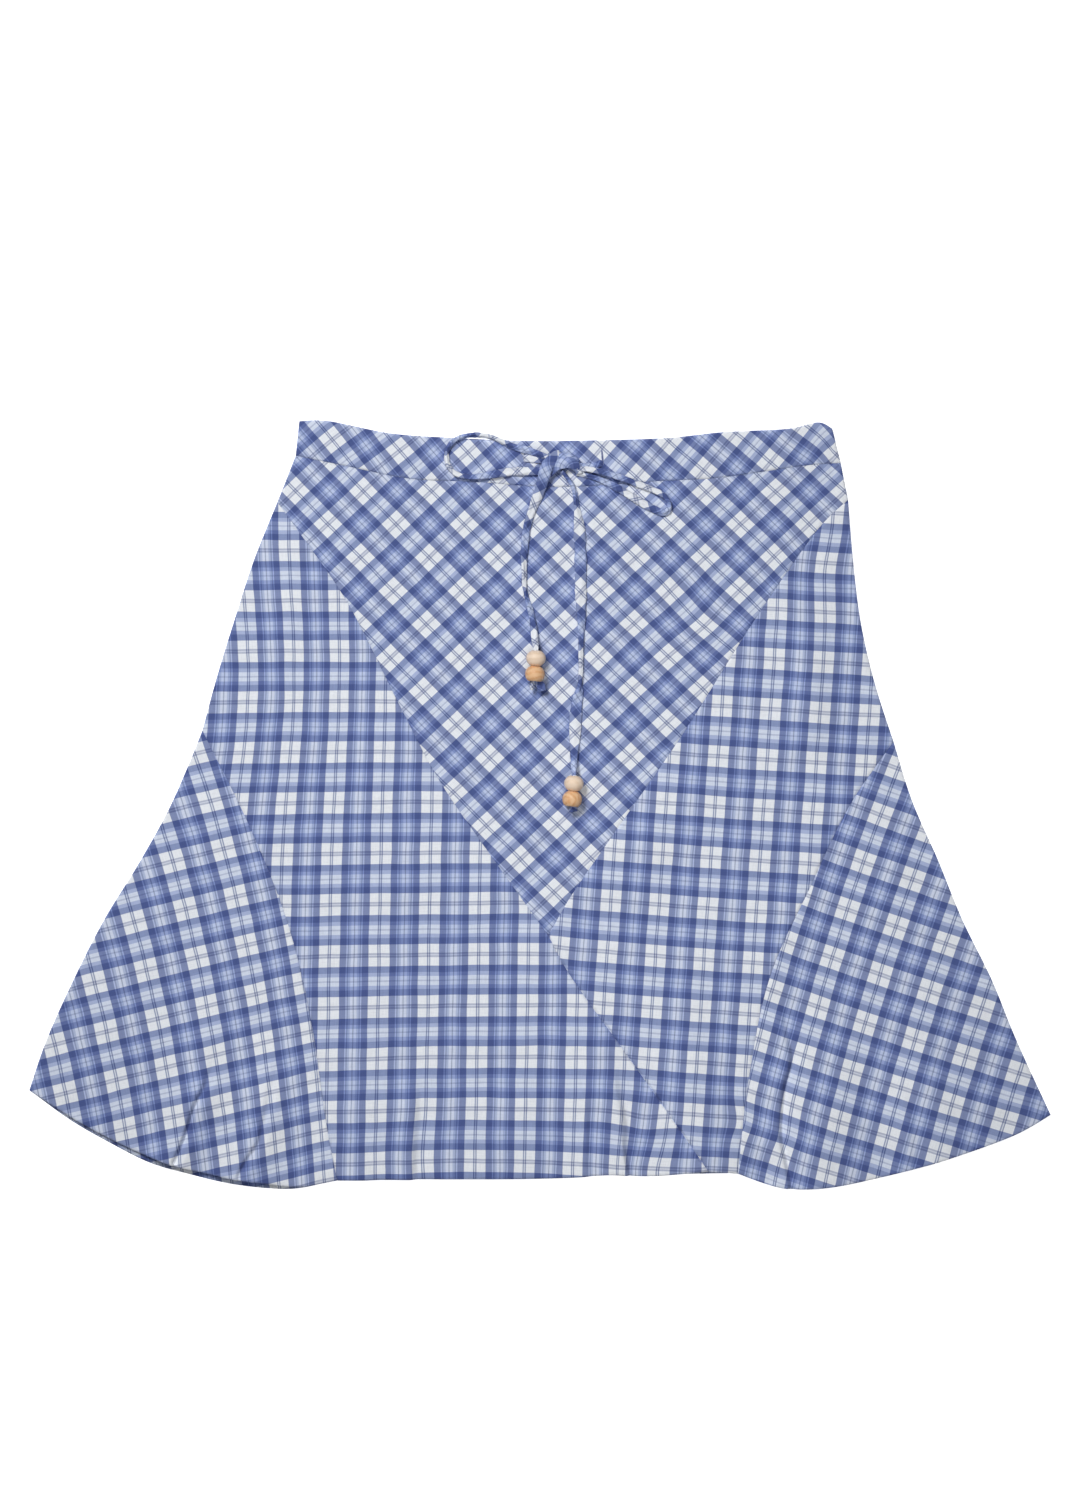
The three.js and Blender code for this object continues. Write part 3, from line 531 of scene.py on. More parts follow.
# One half repeat of the plaid, from the middle of the white to the middle of the blue:
# where each stripe ends, in millimetres, and its thread colour.
WARP_STRIPES = [
    (0.45, "#D2D9E8"), (1.35, "#5C6996"), (8.5, "#F4F8FF"), (13.8, "#4A588F"), (14.7, "#91A3DC"),
    (15.9, "#5C6CA0"), (17.6, "#8D9ECE"), (19.8, "#C4D0F2"), (20.25, "#7482A8"),
]
WEFT_STRIPES = [
    (0.45, "#C8CEE2"), (1.75, "#9098B6"), (8.6, "#F4F8FF"), (13.7, "#52639E"), (16.7, "#8193CB"),
    (19.65, "#CAD7F4"), (20.25, "#99A6CC"),
]
STRIPE_BLEND = 0.25    # how softly one stripe of threads meets the next
DRIFT_LENGTH = 31      # the threads wander a little, over this length
DRIFT_SHARE = 0.035    # and by this share of a repeat
SLUB_WIDTH = 0.58      # thick places in the yarn
SLUB_LENGTH = 8
WEAVE_SPACING = 0.7    # real threads are 0.35 mm apart: drawn at twice that so that they show
FIBRE_LENGTH = 2.38    # short streaks in the wood
TWIST_LENGTH = 0.349   # one turn of the sewing thread
WAVE_UNIT = math.tau / 20  # metres from one band to the next in a wave texture of scale 1


def stripe_stops(stripes):
    half = REPEAT / 2
    stops = [(0.0, stripes[0][1])]
    for (end, code), (_, following) in zip(stripes, stripes[1:]):
        stops += [((end - STRIPE_BLEND / 2) / half, code), ((end + STRIPE_BLEND / 2) / half, following)]
    return stops + [(1.0, stripes[-1][1])]


def plaid_cotton(name, weave_depth=0.12):
    """Yarn dyed plain weave cotton: matt and a little fuzzy, so its edges are soft in the light.

    Warp and weft cover each other half and half, which gives the crossings their mixed blues.
    """
    made = new_material(name)
    tree = made.node_tree
    uv = add(tree, "ShaderNodeUVMap", uv_map="grain")
    drift = add(tree, "ShaderNodeTexNoise", {
        "Vector": uv.outputs[0], "Scale": round(REPEAT / DRIFT_LENGTH, 1), "Detail": 1.0,
    })
    bent = add(tree, "ShaderNodeVectorMath", {0: drift.outputs["Color"], 1: (0.5, 0.5, 0.5)},
               operation="SUBTRACT")
    small = add(tree, "ShaderNodeVectorMath", {0: bent.outputs[0], "Scale": DRIFT_SHARE}, operation="SCALE")
    place = add(tree, "ShaderNodeVectorMath", {0: uv.outputs[0], 1: small.outputs[0]}, operation="ADD")
    axes = add(tree, "ShaderNodeSeparateXYZ", {0: place.outputs[0]})
    threads = []
    slubs_across, slubs_along = float(round(REPEAT / SLUB_WIDTH)), float(round(REPEAT / SLUB_LENGTH))
    for axis, stripes, stretch in (
        ("X", WARP_STRIPES, (slubs_across, slubs_along, 1.0)),
        ("Y", WEFT_STRIPES, (slubs_along, slubs_across, 1.0)),
    ):
        turned = add(tree, "ShaderNodeMath", {0: axes.outputs[axis], 1: 0.5}, operation="PINGPONG")
        doubled = add(tree, "ShaderNodeMath", {0: turned.outputs[0], 1: 2.0}, operation="MULTIPLY")
        ramp = add(tree, "ShaderNodeValToRGB", {0: doubled.outputs[0]})
        fill_ramp(ramp, stripe_stops(stripes))
        # Slubs: each yarn is a little thicker and darker here and there along its length.
        drawn_out = add(tree, "ShaderNodeVectorMath", {0: place.outputs[0], 1: stretch},
                        operation="MULTIPLY")
        slub = add(tree, "ShaderNodeTexNoise", {"Vector": drawn_out.outputs[0], "Scale": 1.0, "Detail": 2.0})
        shade = add(tree, "ShaderNodeMapRange", {0: slub.outputs[0], 1: 0.3, 2: 0.7, 3: 0.90, 4: 1.08})
        tinted = add(tree, "ShaderNodeMix", {0: 1.0, 6: ramp.outputs[0], 7: shade.outputs[0]},
                     data_type="RGBA", blend_type="MULTIPLY")
        threads.append(tinted.outputs[2])
    crossed = add(tree, "ShaderNodeMix", {0: 1.0, 6: threads[0], 7: threads[1]},
                  data_type="RGBA", blend_type="MULTIPLY")
    cloth = add(tree, "ShaderNodeGamma", {0: crossed.outputs[2], 1: 0.5})
    in_repeat = round(REPEAT / WEAVE_SPACING)
    count = add(tree, "ShaderNodeVectorMath", {0: place.outputs[0], "Scale": in_repeat * math.tau},
                operation="SCALE")
    over = add(tree, "ShaderNodeSeparateXYZ", {0: count.outputs[0]})
    sines = [
        add(tree, "ShaderNodeMath", {0: over.outputs[axis]}, operation="SINE").outputs[0]
        for axis in ("X", "Y")
    ]
    weave = add(tree, "ShaderNodeMath", {0: sines[0], 1: sines[1]}, operation="MULTIPLY")
    bump = add(tree, "ShaderNodeBump", {
        "Height": weave.outputs[0], "Strength": 0.35, "Distance": weave_depth * MM,
    })
    shader = add(tree, "ShaderNodeBsdfPrincipled", {
        "Base Color": cloth.outputs[0], "Roughness": 0.86, "Specular IOR Level": 0.22, "Sheen Weight": 0.12,
        "Sheen Roughness": 0.5, "Normal": bump.outputs[0],
    })
    add(tree, "ShaderNodeOutputMaterial", {0: shader.outputs[0]})
    return made


def turned_wood(name, pale, dark, ring_gap, roughness):
    """Turned beech with a thin wax: faint rings across the grain and a soft gloss."""
    made = new_material(name)
    tree = made.node_tree
    where = add(tree, "ShaderNodeTexCoord")
    turned = add(tree, "ShaderNodeMapping", {0: where.outputs["Object"], "Rotation": (0.5, 0.9, 0.3)})
    bands = add(tree, "ShaderNodeTexWave", {
        "Vector": turned.outputs[0], "Scale": float(round(WAVE_UNIT / (ring_gap * MM))), "Distortion": 5.0,
        "Detail": 3.0, "Detail Scale": 2.0,
    }, wave_type="RINGS")
    fibre = add(tree, "ShaderNodeTexNoise", {
        "Vector": turned.outputs[0], "Scale": float(round(1 / (FIBRE_LENGTH * MM))), "Detail": 3.0,
    })
    mixed = add(tree, "ShaderNodeMath", {0: bands.outputs["Fac"], 1: fibre.outputs[0]}, operation="MULTIPLY")
    ramp = add(tree, "ShaderNodeValToRGB", {0: mixed.outputs[0]})
    fill_ramp(ramp, [(0.1, pale), (0.75, dark)])
    bump = add(tree, "ShaderNodeBump", {
        "Height": bands.outputs["Fac"], "Strength": 0.25, "Distance": 0.08 * MM,
    })
    shader = add(tree, "ShaderNodeBsdfPrincipled", {
        "Base Color": ramp.outputs[0], "Roughness": roughness, "Specular IOR Level": 0.45,
        "Normal": bump.outputs[0],
    })
    add(tree, "ShaderNodeOutputMaterial", {0: shader.outputs[0]})
    return made


def spun_thread(name, colour, roughness):
    """Spun polyester sewing thread: matt, with a faint twist."""
    made = new_material(name)
    tree = made.node_tree
    where = add(tree, "ShaderNodeTexCoord")
    twist = add(tree, "ShaderNodeTexWave", {
        "Vector": where.outputs["Object"], "Scale": float(round(WAVE_UNIT / (TWIST_LENGTH * MM))),
    }, bands_direction="DIAGONAL")
    bump = add(tree, "ShaderNodeBump", {
        "Height": twist.outputs["Fac"], "Strength": 0.3, "Distance": 0.05 * MM,
    })
    shader = add(tree, "ShaderNodeBsdfPrincipled", {
        "Base Color": linear(colour), "Roughness": roughness, "Specular IOR Level": 0.2,
        "Normal": bump.outputs[0],
    })
    add(tree, "ShaderNodeOutputMaterial", {0: shader.outputs[0]})
    return made


SLIT_THREAD = spun_thread("slit_thread", "#8791BA", 0.7)
# Painted shade: the slits' openings are flat dark patches in this colour, made with the thread material.
SLIT_SHADE = spun_thread("painted_shade_inside_slit", "#1F2440", 0.95)
PLAID = plaid_cotton("plaid_cotton")
TIE_PLAID = plaid_cotton("plaid_cotton_bias_tube", weave_depth=0.1)
PALE_BEECH = turned_wood("pale_beech", "#FBE3CB", "#F0D4B6", ring_gap=5.2, roughness=0.5)
TAN_BEECH = turned_wood("tan_beech", "#F2C597", "#E0A36E", ring_gap=4.2, roughness=0.45)

# ------------------------------------------------------------------ meshes


def stand_for(made, node):
    """Puts a piece in its solid's place: hides the solid, and puts the piece on the one body."""
    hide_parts(node)
    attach(made, "root")


def place_in_frame(points):
    """Drawing millimetres to frame metres."""
    moved = np.array(points, float)
    moved[:, :2] += SHIFT
    return moved * MM


def mesh_object(name, points, faces, uvs, material):
    """A mesh object from points in drawing millimetres, quads or triangles, and a uv for each point."""
    mesh = bpy.data.meshes.new(name)
    mesh.from_pydata(place_in_frame(points).tolist(), [], faces)
    layer = mesh.uv_layers.new(name="grain")
    corners = np.empty(len(mesh.loops), dtype=np.int32)
    mesh.loops.foreach_get("vertex_index", corners)
    layer.data.foreach_set("uv", np.asarray(uvs, np.float32)[corners].ravel())
    mesh.materials.append(material)
    mesh.polygons.foreach_set("use_smooth", [True] * len(mesh.polygons))
    mesh.update()
    made = bpy.data.objects.new(name, mesh)
    bpy.context.scene.collection.objects.link(made)
    return made


SIDE_CROWD = 0.8       # extra columns of a net beside its sides, as a share
SIDE_SHARE = 0.03      # over this share of its width
CREASE_CROWD = 3.2     # and over its creases
LEAST_CLOTH = 0.12     # the cloth is never pressed thinner


def coons(left, right, top, bottom, crowded=()):
    """A net of points inside four edges, whose columns crowd towards its sides and its creases.

    crowded lists the creases as (share of the way across, half width of the crowd).
    """
    rows, columns = len(left), len(top)
    v = np.linspace(0, 1, rows)[:, None, None]
    s = np.linspace(0, 1, columns)
    density = 1 + SIDE_CROWD * (np.exp(-s / SIDE_SHARE) + np.exp(-(1 - s) / SIDE_SHARE))
    for middle, half in crowded:
        density += CREASE_CROWD * np.exp(-(((s - middle) / half) ** 4))
    passed = np.concatenate([[0], np.cumsum((density[1:] + density[:-1]) / 2)])
    u = np.interp(s, passed / passed[-1], s)
    top, bottom = (
        np.stack([np.interp(u, s, edge[:, axis]) for axis in (0, 1)], axis=1) for edge in (top, bottom)
    )
    u = u[None, :, None]
    left, right, top, bottom = left[:, None], right[:, None], top[None], bottom[None]
    return ((1 - u) * left + u * right + (1 - v) * top + v * bottom
            - (1 - u) * (1 - v) * top[:, :1] - u * (1 - v) * top[:, -1:]
            - (1 - u) * v * bottom[:, :1] - u * v * bottom[:, -1:])


def shell(name, net, top_height, thickness, floor, grain, material):
    """A closed shell of cloth over a net: its top, its underside and the rim between them."""
    x, y = net[..., 0], net[..., 1]
    top = top_height(x, y)
    under = np.maximum(top - thickness, floor)
    top = np.maximum(top, under + LEAST_CLOTH)
    rows, columns = x.shape
    ids = np.arange(rows * columns).reshape(rows, columns)
    if np.allclose(net[0, 0], net[0, -1]):
        ids[0] = ids[0, 0]
    if np.allclose(net[-1, 0], net[-1, -1]):
        ids[-1] = ids[-1, 0]
    quads = np.stack([ids[:-1, :-1], ids[1:, :-1], ids[1:, 1:], ids[:-1, 1:]], axis=-1).reshape(-1, 4)
    lower = rows * columns
    rim = np.concatenate([ids[:-1, 0], ids[-1, :-1], ids[:0:-1, -1], ids[0, :0:-1]])
    rim = rim[rim != np.roll(rim, 1)]
    walls = np.stack([rim + lower, np.roll(rim, -1) + lower, np.roll(rim, -1), rim], axis=-1)
    faces = np.concatenate([quads, quads[:, ::-1] + lower, walls]).tolist()
    faces = [list(dict.fromkeys(face)) for face in faces]
    faces = [face for face in faces if len(face) > 2]
    flat = np.concatenate([np.stack([x, y, height], axis=-1).reshape(-1, 3) for height in (top, under)])
    uvs = np.tile(grain(x, y).reshape(-1, 2), (2, 1))
    used = np.unique(np.concatenate([np.array(face) for face in faces]))
    fresh = np.full(len(flat), -1)
    fresh[used] = np.arange(len(used))
    faces = [[int(fresh[corner]) for corner in face] for face in faces]
    return mesh_object(name, flat[used], faces, uvs[used], material)


def drawn_aside(x, y, pulls):
    """Where the plaid would be at each point if the cloth weren't drawn aside there."""
    moved_x, moved_y = x, y
    for px, py, reach, right, up in pulls:
        share = np.exp(-(((x - px) ** 2 + (y - py) ** 2) / reach**2))
        moved_x, moved_y = moved_x - right * share, moved_y - up * share
    return moved_x, moved_y


def stripe_count(thread, x, y):
    """How many repeats of a thread's stripes lie between the white crossing and a point x, y off it."""
    repeat, way, gather, fan, bow = thread
    turn = math.radians(way)
    onward = x * math.cos(turn) + y * math.sin(turn)
    beside_it = y * math.cos(turn) - x * math.sin(turn)
    bend = (gather / 100 * onward**2 / 2 + math.radians(fan) * onward * beside_it
            + math.radians(bow) * beside_it**2 / 2) / 100
    return (onward + bend) / repeat


def plaid_grain(piece):
    """Stripe counts across a piece, from its row of the grain table."""
    row = GRAIN[piece]
    crossing_x, crossing_y = row["crossing"]
    pulls = PULLS + PIECE_PULLS.get(piece, [])

    def at(x, y):
        x, y = drawn_aside(x, y, pulls)
        return np.stack([
            stripe_count(row[thread], x - crossing_x, y - crossing_y) for thread in ("warp", "weft")
        ], axis=-1)

    return at


def band_grain(x, y):
    """The waistband's bias grain, measured from its own middle line."""
    x, y = drawn_aside(x, y, PULLS)
    lower, upper = (np.interp(x, line[:, 0], line[:, 1]) for line in (WAIST_LINE, TOP_LINE))
    height = y - (lower + upper) / 2
    ends = []
    for row in BAND_GRAIN:
        away, off = row["crossing"]
        warp, weft = (stripe_count(row[thread], x - away, height - off) for thread in ("warp", "weft"))
        ends.append(np.stack([warp, weft], axis=-1) + row["counts"])
    share = smoothstep(x, *BAND_GRAIN_MEETS)[..., None]
    return ends[0] * (1 - share) + ends[1] * share


def still(point, steps):
    return np.tile(np.array(point, float), (steps + 1, 1))


SIDE_ROUND = 3.0       # how far in from a side fold the cloth is round
HEM_ROUND = 1.2


def free_edges(height, sides=(), hems=(), side_drop=1.4, hem_drop=0.5):
    """The height with its side folds and hems rounded off."""
    def at(x, y):
        z = height(x, y)
        for line in sides:
            away, _ = nearest(line, x, y)
            z = z - rounded(away, SIDE_ROUND, side_drop)
        for line in hems:
            away, _ = nearest(line, x, y)
            z = z - rounded(away, HEM_ROUND, hem_drop)
        return z

    return at


fine = {name: count * DOWN for name, count in STEPS.items()}
wide = {name: count * ACROSS for name, count in COLUMNS.items()}
fine["waist"] = STEPS["waist"] * ACROSS
fine["flare"] = round(fine["godet"] * FLARE_DETAIL)
wide["godet"] = round(wide["godet"] * FLARE_DETAIL)
HEM_EASE = 0.4

yoke_left = spaced(YOKE_LEFT_SEAM, fine["yoke"])
yoke_right = spaced(YOKE_RIGHT_SEAM, fine["yoke"])
slant = spaced(SLANT_SEAM, fine["slant"], HEM_EASE)
left_godet_seam = spaced(LEFT_GODET_SEAM, fine["godet"], HEM_EASE)
right_godet_seam = spaced(RIGHT_GODET_SEAM, fine["godet"], HEM_EASE)
left_side_top = spaced(LEFT_SIDE_TOP, fine["side_top"])
right_side_top = spaced(RIGHT_SIDE_TOP, fine["side_top"])
left_side = spaced(LEFT_SIDE, fine["side"])
right_side = spaced(RIGHT_SIDE, fine["side"])
left_flare = spaced(LEFT_FLARE, fine["flare"], HEM_EASE)
right_flare = spaced(RIGHT_FLARE, fine["flare"], HEM_EASE)
left_let_in = spaced(LEFT_GODET_SEAM, fine["flare"], HEM_EASE)
right_let_in = spaced(RIGHT_GODET_SEAM, fine["flare"], HEM_EASE)
waist_line = spaced(WAIST_SEAM, fine["waist"])
top_line = spaced(WAIST_EDGE, fine["waist"])
band_left = spaced([WAIST_EDGE[0], WAIST_SEAM[0]], fine["band"])
band_right = spaced([WAIST_EDGE[-1], WAIST_SEAM[-1]], fine["band"])

FRONT_FLOOR = BACK_WALL + 0.1


def front_piece(node, net, height, sides=(), hems=()):
    """One piece of the front cloth, in place of its solid."""
    rounded_height = free_edges(height, sides, hems)
    made = shell(node + "_cloth", net, rounded_height, CLOTH, FRONT_FLOOR, plaid_grain(node), PLAID)
    stand_for(made, node)
    return made


SIDE_LINES = {"left": spaced(LEFT_SIDE, 40), "right": spaced(RIGHT_SIDE, 40)}
FLARE_LINES = {"left": spaced(LEFT_FLARE, 60), "right": spaced(RIGHT_FLARE, 60)}

yoke = front_piece(
    "yoke_front",
    coons(join(left_side_top, yoke_left), join(right_side_top, yoke_right), waist_line,
          still(YOKE_POINT, fine["waist"])),
    panel_top, sides=[spaced(LEFT_SIDE_TOP, 8), spaced(RIGHT_SIDE_TOP, 8)],
)
panel_left = front_piece(
    "panel_front_left",
    coons(join(left_side, left_godet_seam), join(yoke_left, slant), still(YOKE_LEFT_CORNER, wide["left"]),
          spaced(LEFT_PANEL_HEMLINE, wide["left"]), crowded=[(0.2, 0.03), (0.765, 0.05)]),
    panel_top, sides=[SIDE_LINES["left"]], hems=[spaced(LEFT_PANEL_HEMLINE, 80)],
)
panel_right = front_piece(
    "panel_front_right",
    coons(join(yoke_right, slant), join(right_side, right_godet_seam),
          still(YOKE_RIGHT_CORNER, wide["right"]), spaced(RIGHT_PANEL_HEMLINE, wide["right"])),
    panel_top, sides=[SIDE_LINES["right"]], hems=[spaced(RIGHT_PANEL_HEMLINE, 10)],
)
godet_left = front_piece(
    "godet_front_left",
    coons(left_flare, left_let_in, still(LEFT_GODET_TOP, wide["godet"]),
          spaced(LEFT_GODET_HEMLINE, wide["godet"]), crowded=[(0.49, 0.075), (0.715, 0.06)]),
    panel_top, sides=[FLARE_LINES["left"]], hems=[spaced(LEFT_GODET_HEMLINE, 80)],
)
godet_right = front_piece(
    "godet_front_right",
    coons(right_let_in, right_flare, still(RIGHT_GODET_TOP, wide["godet"]),
          spaced(RIGHT_GODET_HEMLINE, wide["godet"]), crowded=[(0.125, 0.075)]),
    panel_top, sides=[FLARE_LINES["right"]], hems=[spaced(RIGHT_GODET_HEMLINE, 80)],
)

band_front = shell(
    "waistband_front_cloth", coons(band_left, band_right, top_line, waist_line),
    free_edges(band_top, sides=[band_left, band_right], hems=[TOP_LINE], side_drop=1.2, hem_drop=1.2),
    BAND_CLOTH, BAND_WALL + 0.1, band_grain, PLAID,
)
stand_for(band_front, "waistband_front")


def back_top(x, y):
    """The flat back, with a few faint creases."""
    return BACK_WALL - 0.1 + 0.06 * waves(x, y, 21, 30, 90)


def back_band_top(x, y):
    return BAND_WALL - 0.05 + 0.05 * waves(x, y, 22, 20, 60)


def back_piece(node, net, height, thickness, grain, hems):
    made = shell(node + "_cloth", net, free_edges(height, hems=hems), thickness, 0.1, grain, PLAID)
    stand_for(made, node)
    return made


def thinner(line, every=2):
    """Every other row of a fine edge, for the plainer back."""
    return line[::every] if (len(line) - 1) % every == 0 else spaced(line, (len(line) - 1) // every)


back_hem = spaced(BACK_MIDDLE_HEMLINE, wide["left"])
panel_behind = back_piece(
    "panel_back",
    coons(thinner(join(left_side_top, left_side, left_godet_seam)),
          thinner(join(right_side_top, right_side, right_godet_seam)),
          spaced(WAIST_SEAM, wide["left"]), back_hem),
    back_top, CLOTH, plaid_grain("panel_back"), [spaced(BACK_MIDDLE_HEMLINE, 40)],
)
godet_behind_left = back_piece(
    "godet_back_left",
    coons(thinner(left_flare), thinner(left_let_in), still(LEFT_GODET_TOP, wide["godet"] // 2),
          spaced(BACK_LEFT_HEMLINE, wide["godet"] // 2)),
    back_top, CLOTH, plaid_grain("godet_front_left"), [spaced(BACK_LEFT_HEMLINE, 60)],
)
godet_behind_right = back_piece(
    "godet_back_right",
    coons(thinner(right_let_in), thinner(right_flare), still(RIGHT_GODET_TOP, wide["godet"] // 2),
          spaced(BACK_RIGHT_HEMLINE, wide["godet"] // 2)),
    back_top, CLOTH, plaid_grain("godet_front_right"), [spaced(BACK_RIGHT_HEMLINE, 60)],
)
band_behind = back_piece(
    "waistband_back", coons(band_left, band_right, top_line, waist_line), back_band_top, BAND_CLOTH,
    band_grain, [TOP_LINE],
)

# ------------------------------------------------------------------ drawstring


EDGE_LIFT = 0.7        # share of its width that a drawstring turned on its edge stands up by
PLEAT_HEIGHTS = ([4, 10], [0.4, 0.28])  # width of the drawstring, and the height of its pleats there
CRUMPLE = 0.16


def route(rows, step=0.9):
    """Points, widths, rolls and lifts along a drawstring's smooth line, and how far along each is."""
    rows = np.array(rows, float)
    line = catmull_rom(rows, 40)
    flat = np.concatenate([[0], np.cumsum(np.linalg.norm(np.diff(line[:, :2], axis=0), axis=1))])
    at = np.linspace(0, flat[-1], int(flat[-1] / step) + 1)
    x, y, lift, width, roll = (np.interp(at, flat, line[:, axis]) for axis in range(5))
    # Where the drawstring turns on its edge its middle is higher.
    edge_up = np.sin(np.radians(np.abs(roll))) * (width - TIE_THICK).clip(0) / 2 * EDGE_LIFT
    ground = np.convolve(np.pad(cloth_under(x, y), 4, mode="edge"), np.ones(9) / 9, mode="valid")
    z = ground + lift + edge_up
    points = np.stack([x, y, z], axis=1)
    along = np.concatenate([[0], np.cumsum(np.linalg.norm(np.diff(points, axis=0), axis=1))])
    return points, width, roll, lift, along


SECTION = 28


def ribbon_mesh(rows, thick=TIE_PLUMP, seed=1, white_at=0.0):
    """A flat bias tube along its rows, with pleats that run along it and a fold at each edge.

    white_at is how far along the ribbon a white crossing of the plaid lies.
    """
    line, widths, rolls, lifts, at = route(rows)
    ahead = np.gradient(line, axis=0)
    ahead /= np.linalg.norm(ahead, axis=1)[:, None]
    sway = waves(at, at * 0, seed, 9, 30, 5)
    edge = waves(at, at * 0, seed + 50, 3, 7, 4)
    drift = waves(at, at * 0, seed + 90, 25, 60, 3)
    angle = np.arange(SECTION) * math.tau / SECTION
    spread = np.sign(np.cos(angle)) * np.abs(np.cos(angle)) ** 0.85
    points, uvs = [], []
    for i, (middle, along, width, roll, s) in enumerate(zip(line, ahead, widths, rolls, at)):
        side = np.cross(along, (0, 0, 1))
        side /= np.linalg.norm(side)
        up = np.cross(side, along)
        turn = math.radians(roll)
        across = side * math.cos(turn) + up * math.sin(turn)
        over = up * math.cos(turn) - side * math.sin(turn)
        out = spread * width / 2 * (1 + 0.05 * sway[i] + 0.03 * edge[i])
        inside = np.abs(np.sin(angle))
        pleats = np.interp(width, *PLEAT_HEIGHTS) * np.sin(spread * 4.2 + 2.2 * drift[i] + 1) * inside
        crumples = CRUMPLE * np.sin(s / 1.1 + spread * 3.4 + 3 * drift[i]) * inside * (1 + sway[i])
        height = np.sin(angle) * thick / 2 * (1 + 0.1 * sway[i]) + pleats + crumples
        points.append(middle + np.outer(out, across) + np.outer(height, over))
        run = s - white_at
        uvs.append(np.stack([run + out, run - out], axis=1) / math.sqrt(2) / REPEAT)
    points, uvs = np.vstack(points), np.vstack(uvs)
    # It lies on the cloth, except where it goes down into a slit.
    rest = np.repeat(np.minimum(0.15, lifts - 1.1), SECTION)
    points[:, 2] = np.maximum(points[:, 2], cloth_under(points[:, 0], points[:, 1]) + rest)
    count = len(line)
    faces = []
    for i in range(count - 1):
        for j in range(SECTION):
            a, b = i * SECTION + j, i * SECTION + (j + 1) % SECTION
            faces.append([a, b, b + SECTION, a + SECTION])
    faces.append(list(range(SECTION))[::-1])
    faces.append([(count - 1) * SECTION + j for j in range(SECTION)])
    return points, faces, uvs, line, at[-1]


def in_frame(point):
    return place_in_frame([point])[0].tolist()


def tie_piece(node, rows, seed, white_at=0.0):
    """A stretch of the drawstring, in place of its solid."""
    points, faces, uvs, line, length = ribbon_mesh(rows, seed=seed, white_at=white_at)
    made = mesh_object(node + "_cloth", points, faces, uvs, TIE_PLAID)
    stand_for(made, node)
    in_frame(line[0])
    place_in_frame(line).tolist()
    return made


def join_parts(parts):
    """Points, faces and grain of several parts as one."""
    points, faces, uvs = [], [], []
    for more_points, more_faces, more_uvs in parts:
        before = sum(len(block) for block in points)
        faces += [[corner + before for corner in face] for face in more_faces]
        points.append(more_points)
        uvs.append(more_uvs)
    return np.vstack(points), faces, np.vstack(uvs)


knot_parts = [ribbon_mesh(rows, thick=3.0, seed=60 + number, white_at=43)[:3]
              for number, rows in enumerate(KNOT_WRAPS)]
knot_parts += [ribbon_mesh(rows, seed=66 + number, white_at=(26, 40)[number])[:3]
               for number, rows in enumerate((ENTRY_LEFT, ENTRY_RIGHT))]
knot = mesh_object("bow_knot_cloth", *join_parts(knot_parts), TIE_PLAID)
stand_for(knot, "bow_knot")


def slit_parts(slit):
    """A worked slit: a flat dark patch over its opening, painted shade where the slit's inside lies in
    shadow, and a ring of close stitches round it.
    """
    x, y = slit["at"]
    lean = math.radians(slit["lean"])
    along = np.array([-math.sin(lean), math.cos(lean)])
    aside = np.array([math.cos(lean), math.sin(lean)])
    half = slit["length"] / 2
    turns, sides = 90, 8
    angle = np.arange(turns) * math.tau / turns
    ring = np.array([x, y]) + np.outer(np.sin(angle) * half, along)
    ring = ring + np.outer(np.cos(angle) * SLIT_OPEN, aside)
    height = cloth_under(ring[:, 0], ring[:, 1])
    outward = np.outer(np.sin(angle) * 0.35, along) + np.outer(np.cos(angle), aside)
    points = []
    for turn in range(turns):
        radius = THREAD * (1.15 if turn % 2 else 0.85)
        for step in range(sides):
            round_it = math.tau * step / sides
            flat = ring[turn] + outward[turn] * radius * math.cos(round_it)
            points.append((*flat, height[turn] + radius * 0.6 * math.sin(round_it)))
    points = np.array(points)
    # A flat dark patch just above the band: painted shade for the inside of the slit.
    dark = np.column_stack([ring, height + 0.12])
    stitches = (points, ring_faces(turns, sides, True), points[:, :2] * 0)
    return stitches, (dark, [list(range(turns))], dark[:, :2] * 0)


def ring_faces(rings, sides, closed):
    faces = []
    for i in range(rings if closed else rings - 1):
        for j in range(sides):
            a, b = i * sides + j, i * sides + (j + 1) % sides
            c, d = ((i + 1) % rings) * sides + (j + 1) % sides, ((i + 1) % rings) * sides + j
            faces.append([a, d, c, b])
    return faces


SLIT_OPEN = 0.45       # half the width of a slit's opening
THREAD = 0.4           # half the width of its stitched edge
rings, painted_shade_patches = zip(*[slit_parts(slit) for slit in SLITS])
slit_stitches = mesh_object("slit_stitches", *join_parts(rings), SLIT_THREAD)
# The patches of painted shade over the slits' openings.
slit_painted_shade = mesh_object("slit_painted_shade", *join_parts(painted_shade_patches), SLIT_SHADE)
for made in (slit_stitches, slit_painted_shade):
    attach(made, "root")

# ------------------------------------------------------------------ beads


def turned_points(string, profile, sides):
    """Rings of a profile of (radius, distance down the string from the upper bead's middle)."""
    x, y = BEAD_STRINGS[string]["middle"]
    middle = np.array([x, y, solid_top(x, y) + BEAD_WIDTH / 2 + SEAM_GAP])
    down = np.array([*BEAD_STRINGS[string]["down"], 0.0])
    down /= np.linalg.norm(down)
    side = np.cross(down, (0, 0, 1))
    points = []
    for radius, below in profile:
        for turn in range(sides):
            angle = math.tau * turn / sides
            outward = side * math.cos(angle) + np.array([0, 0, 1]) * math.sin(angle)
            points.append(middle + down * below + radius * outward)
    return points


BORE_LIP = [(0.7, 0.0), (0.15, 0.25), (0.0, 0.8)]  # out from the bore, and in from the bead's end


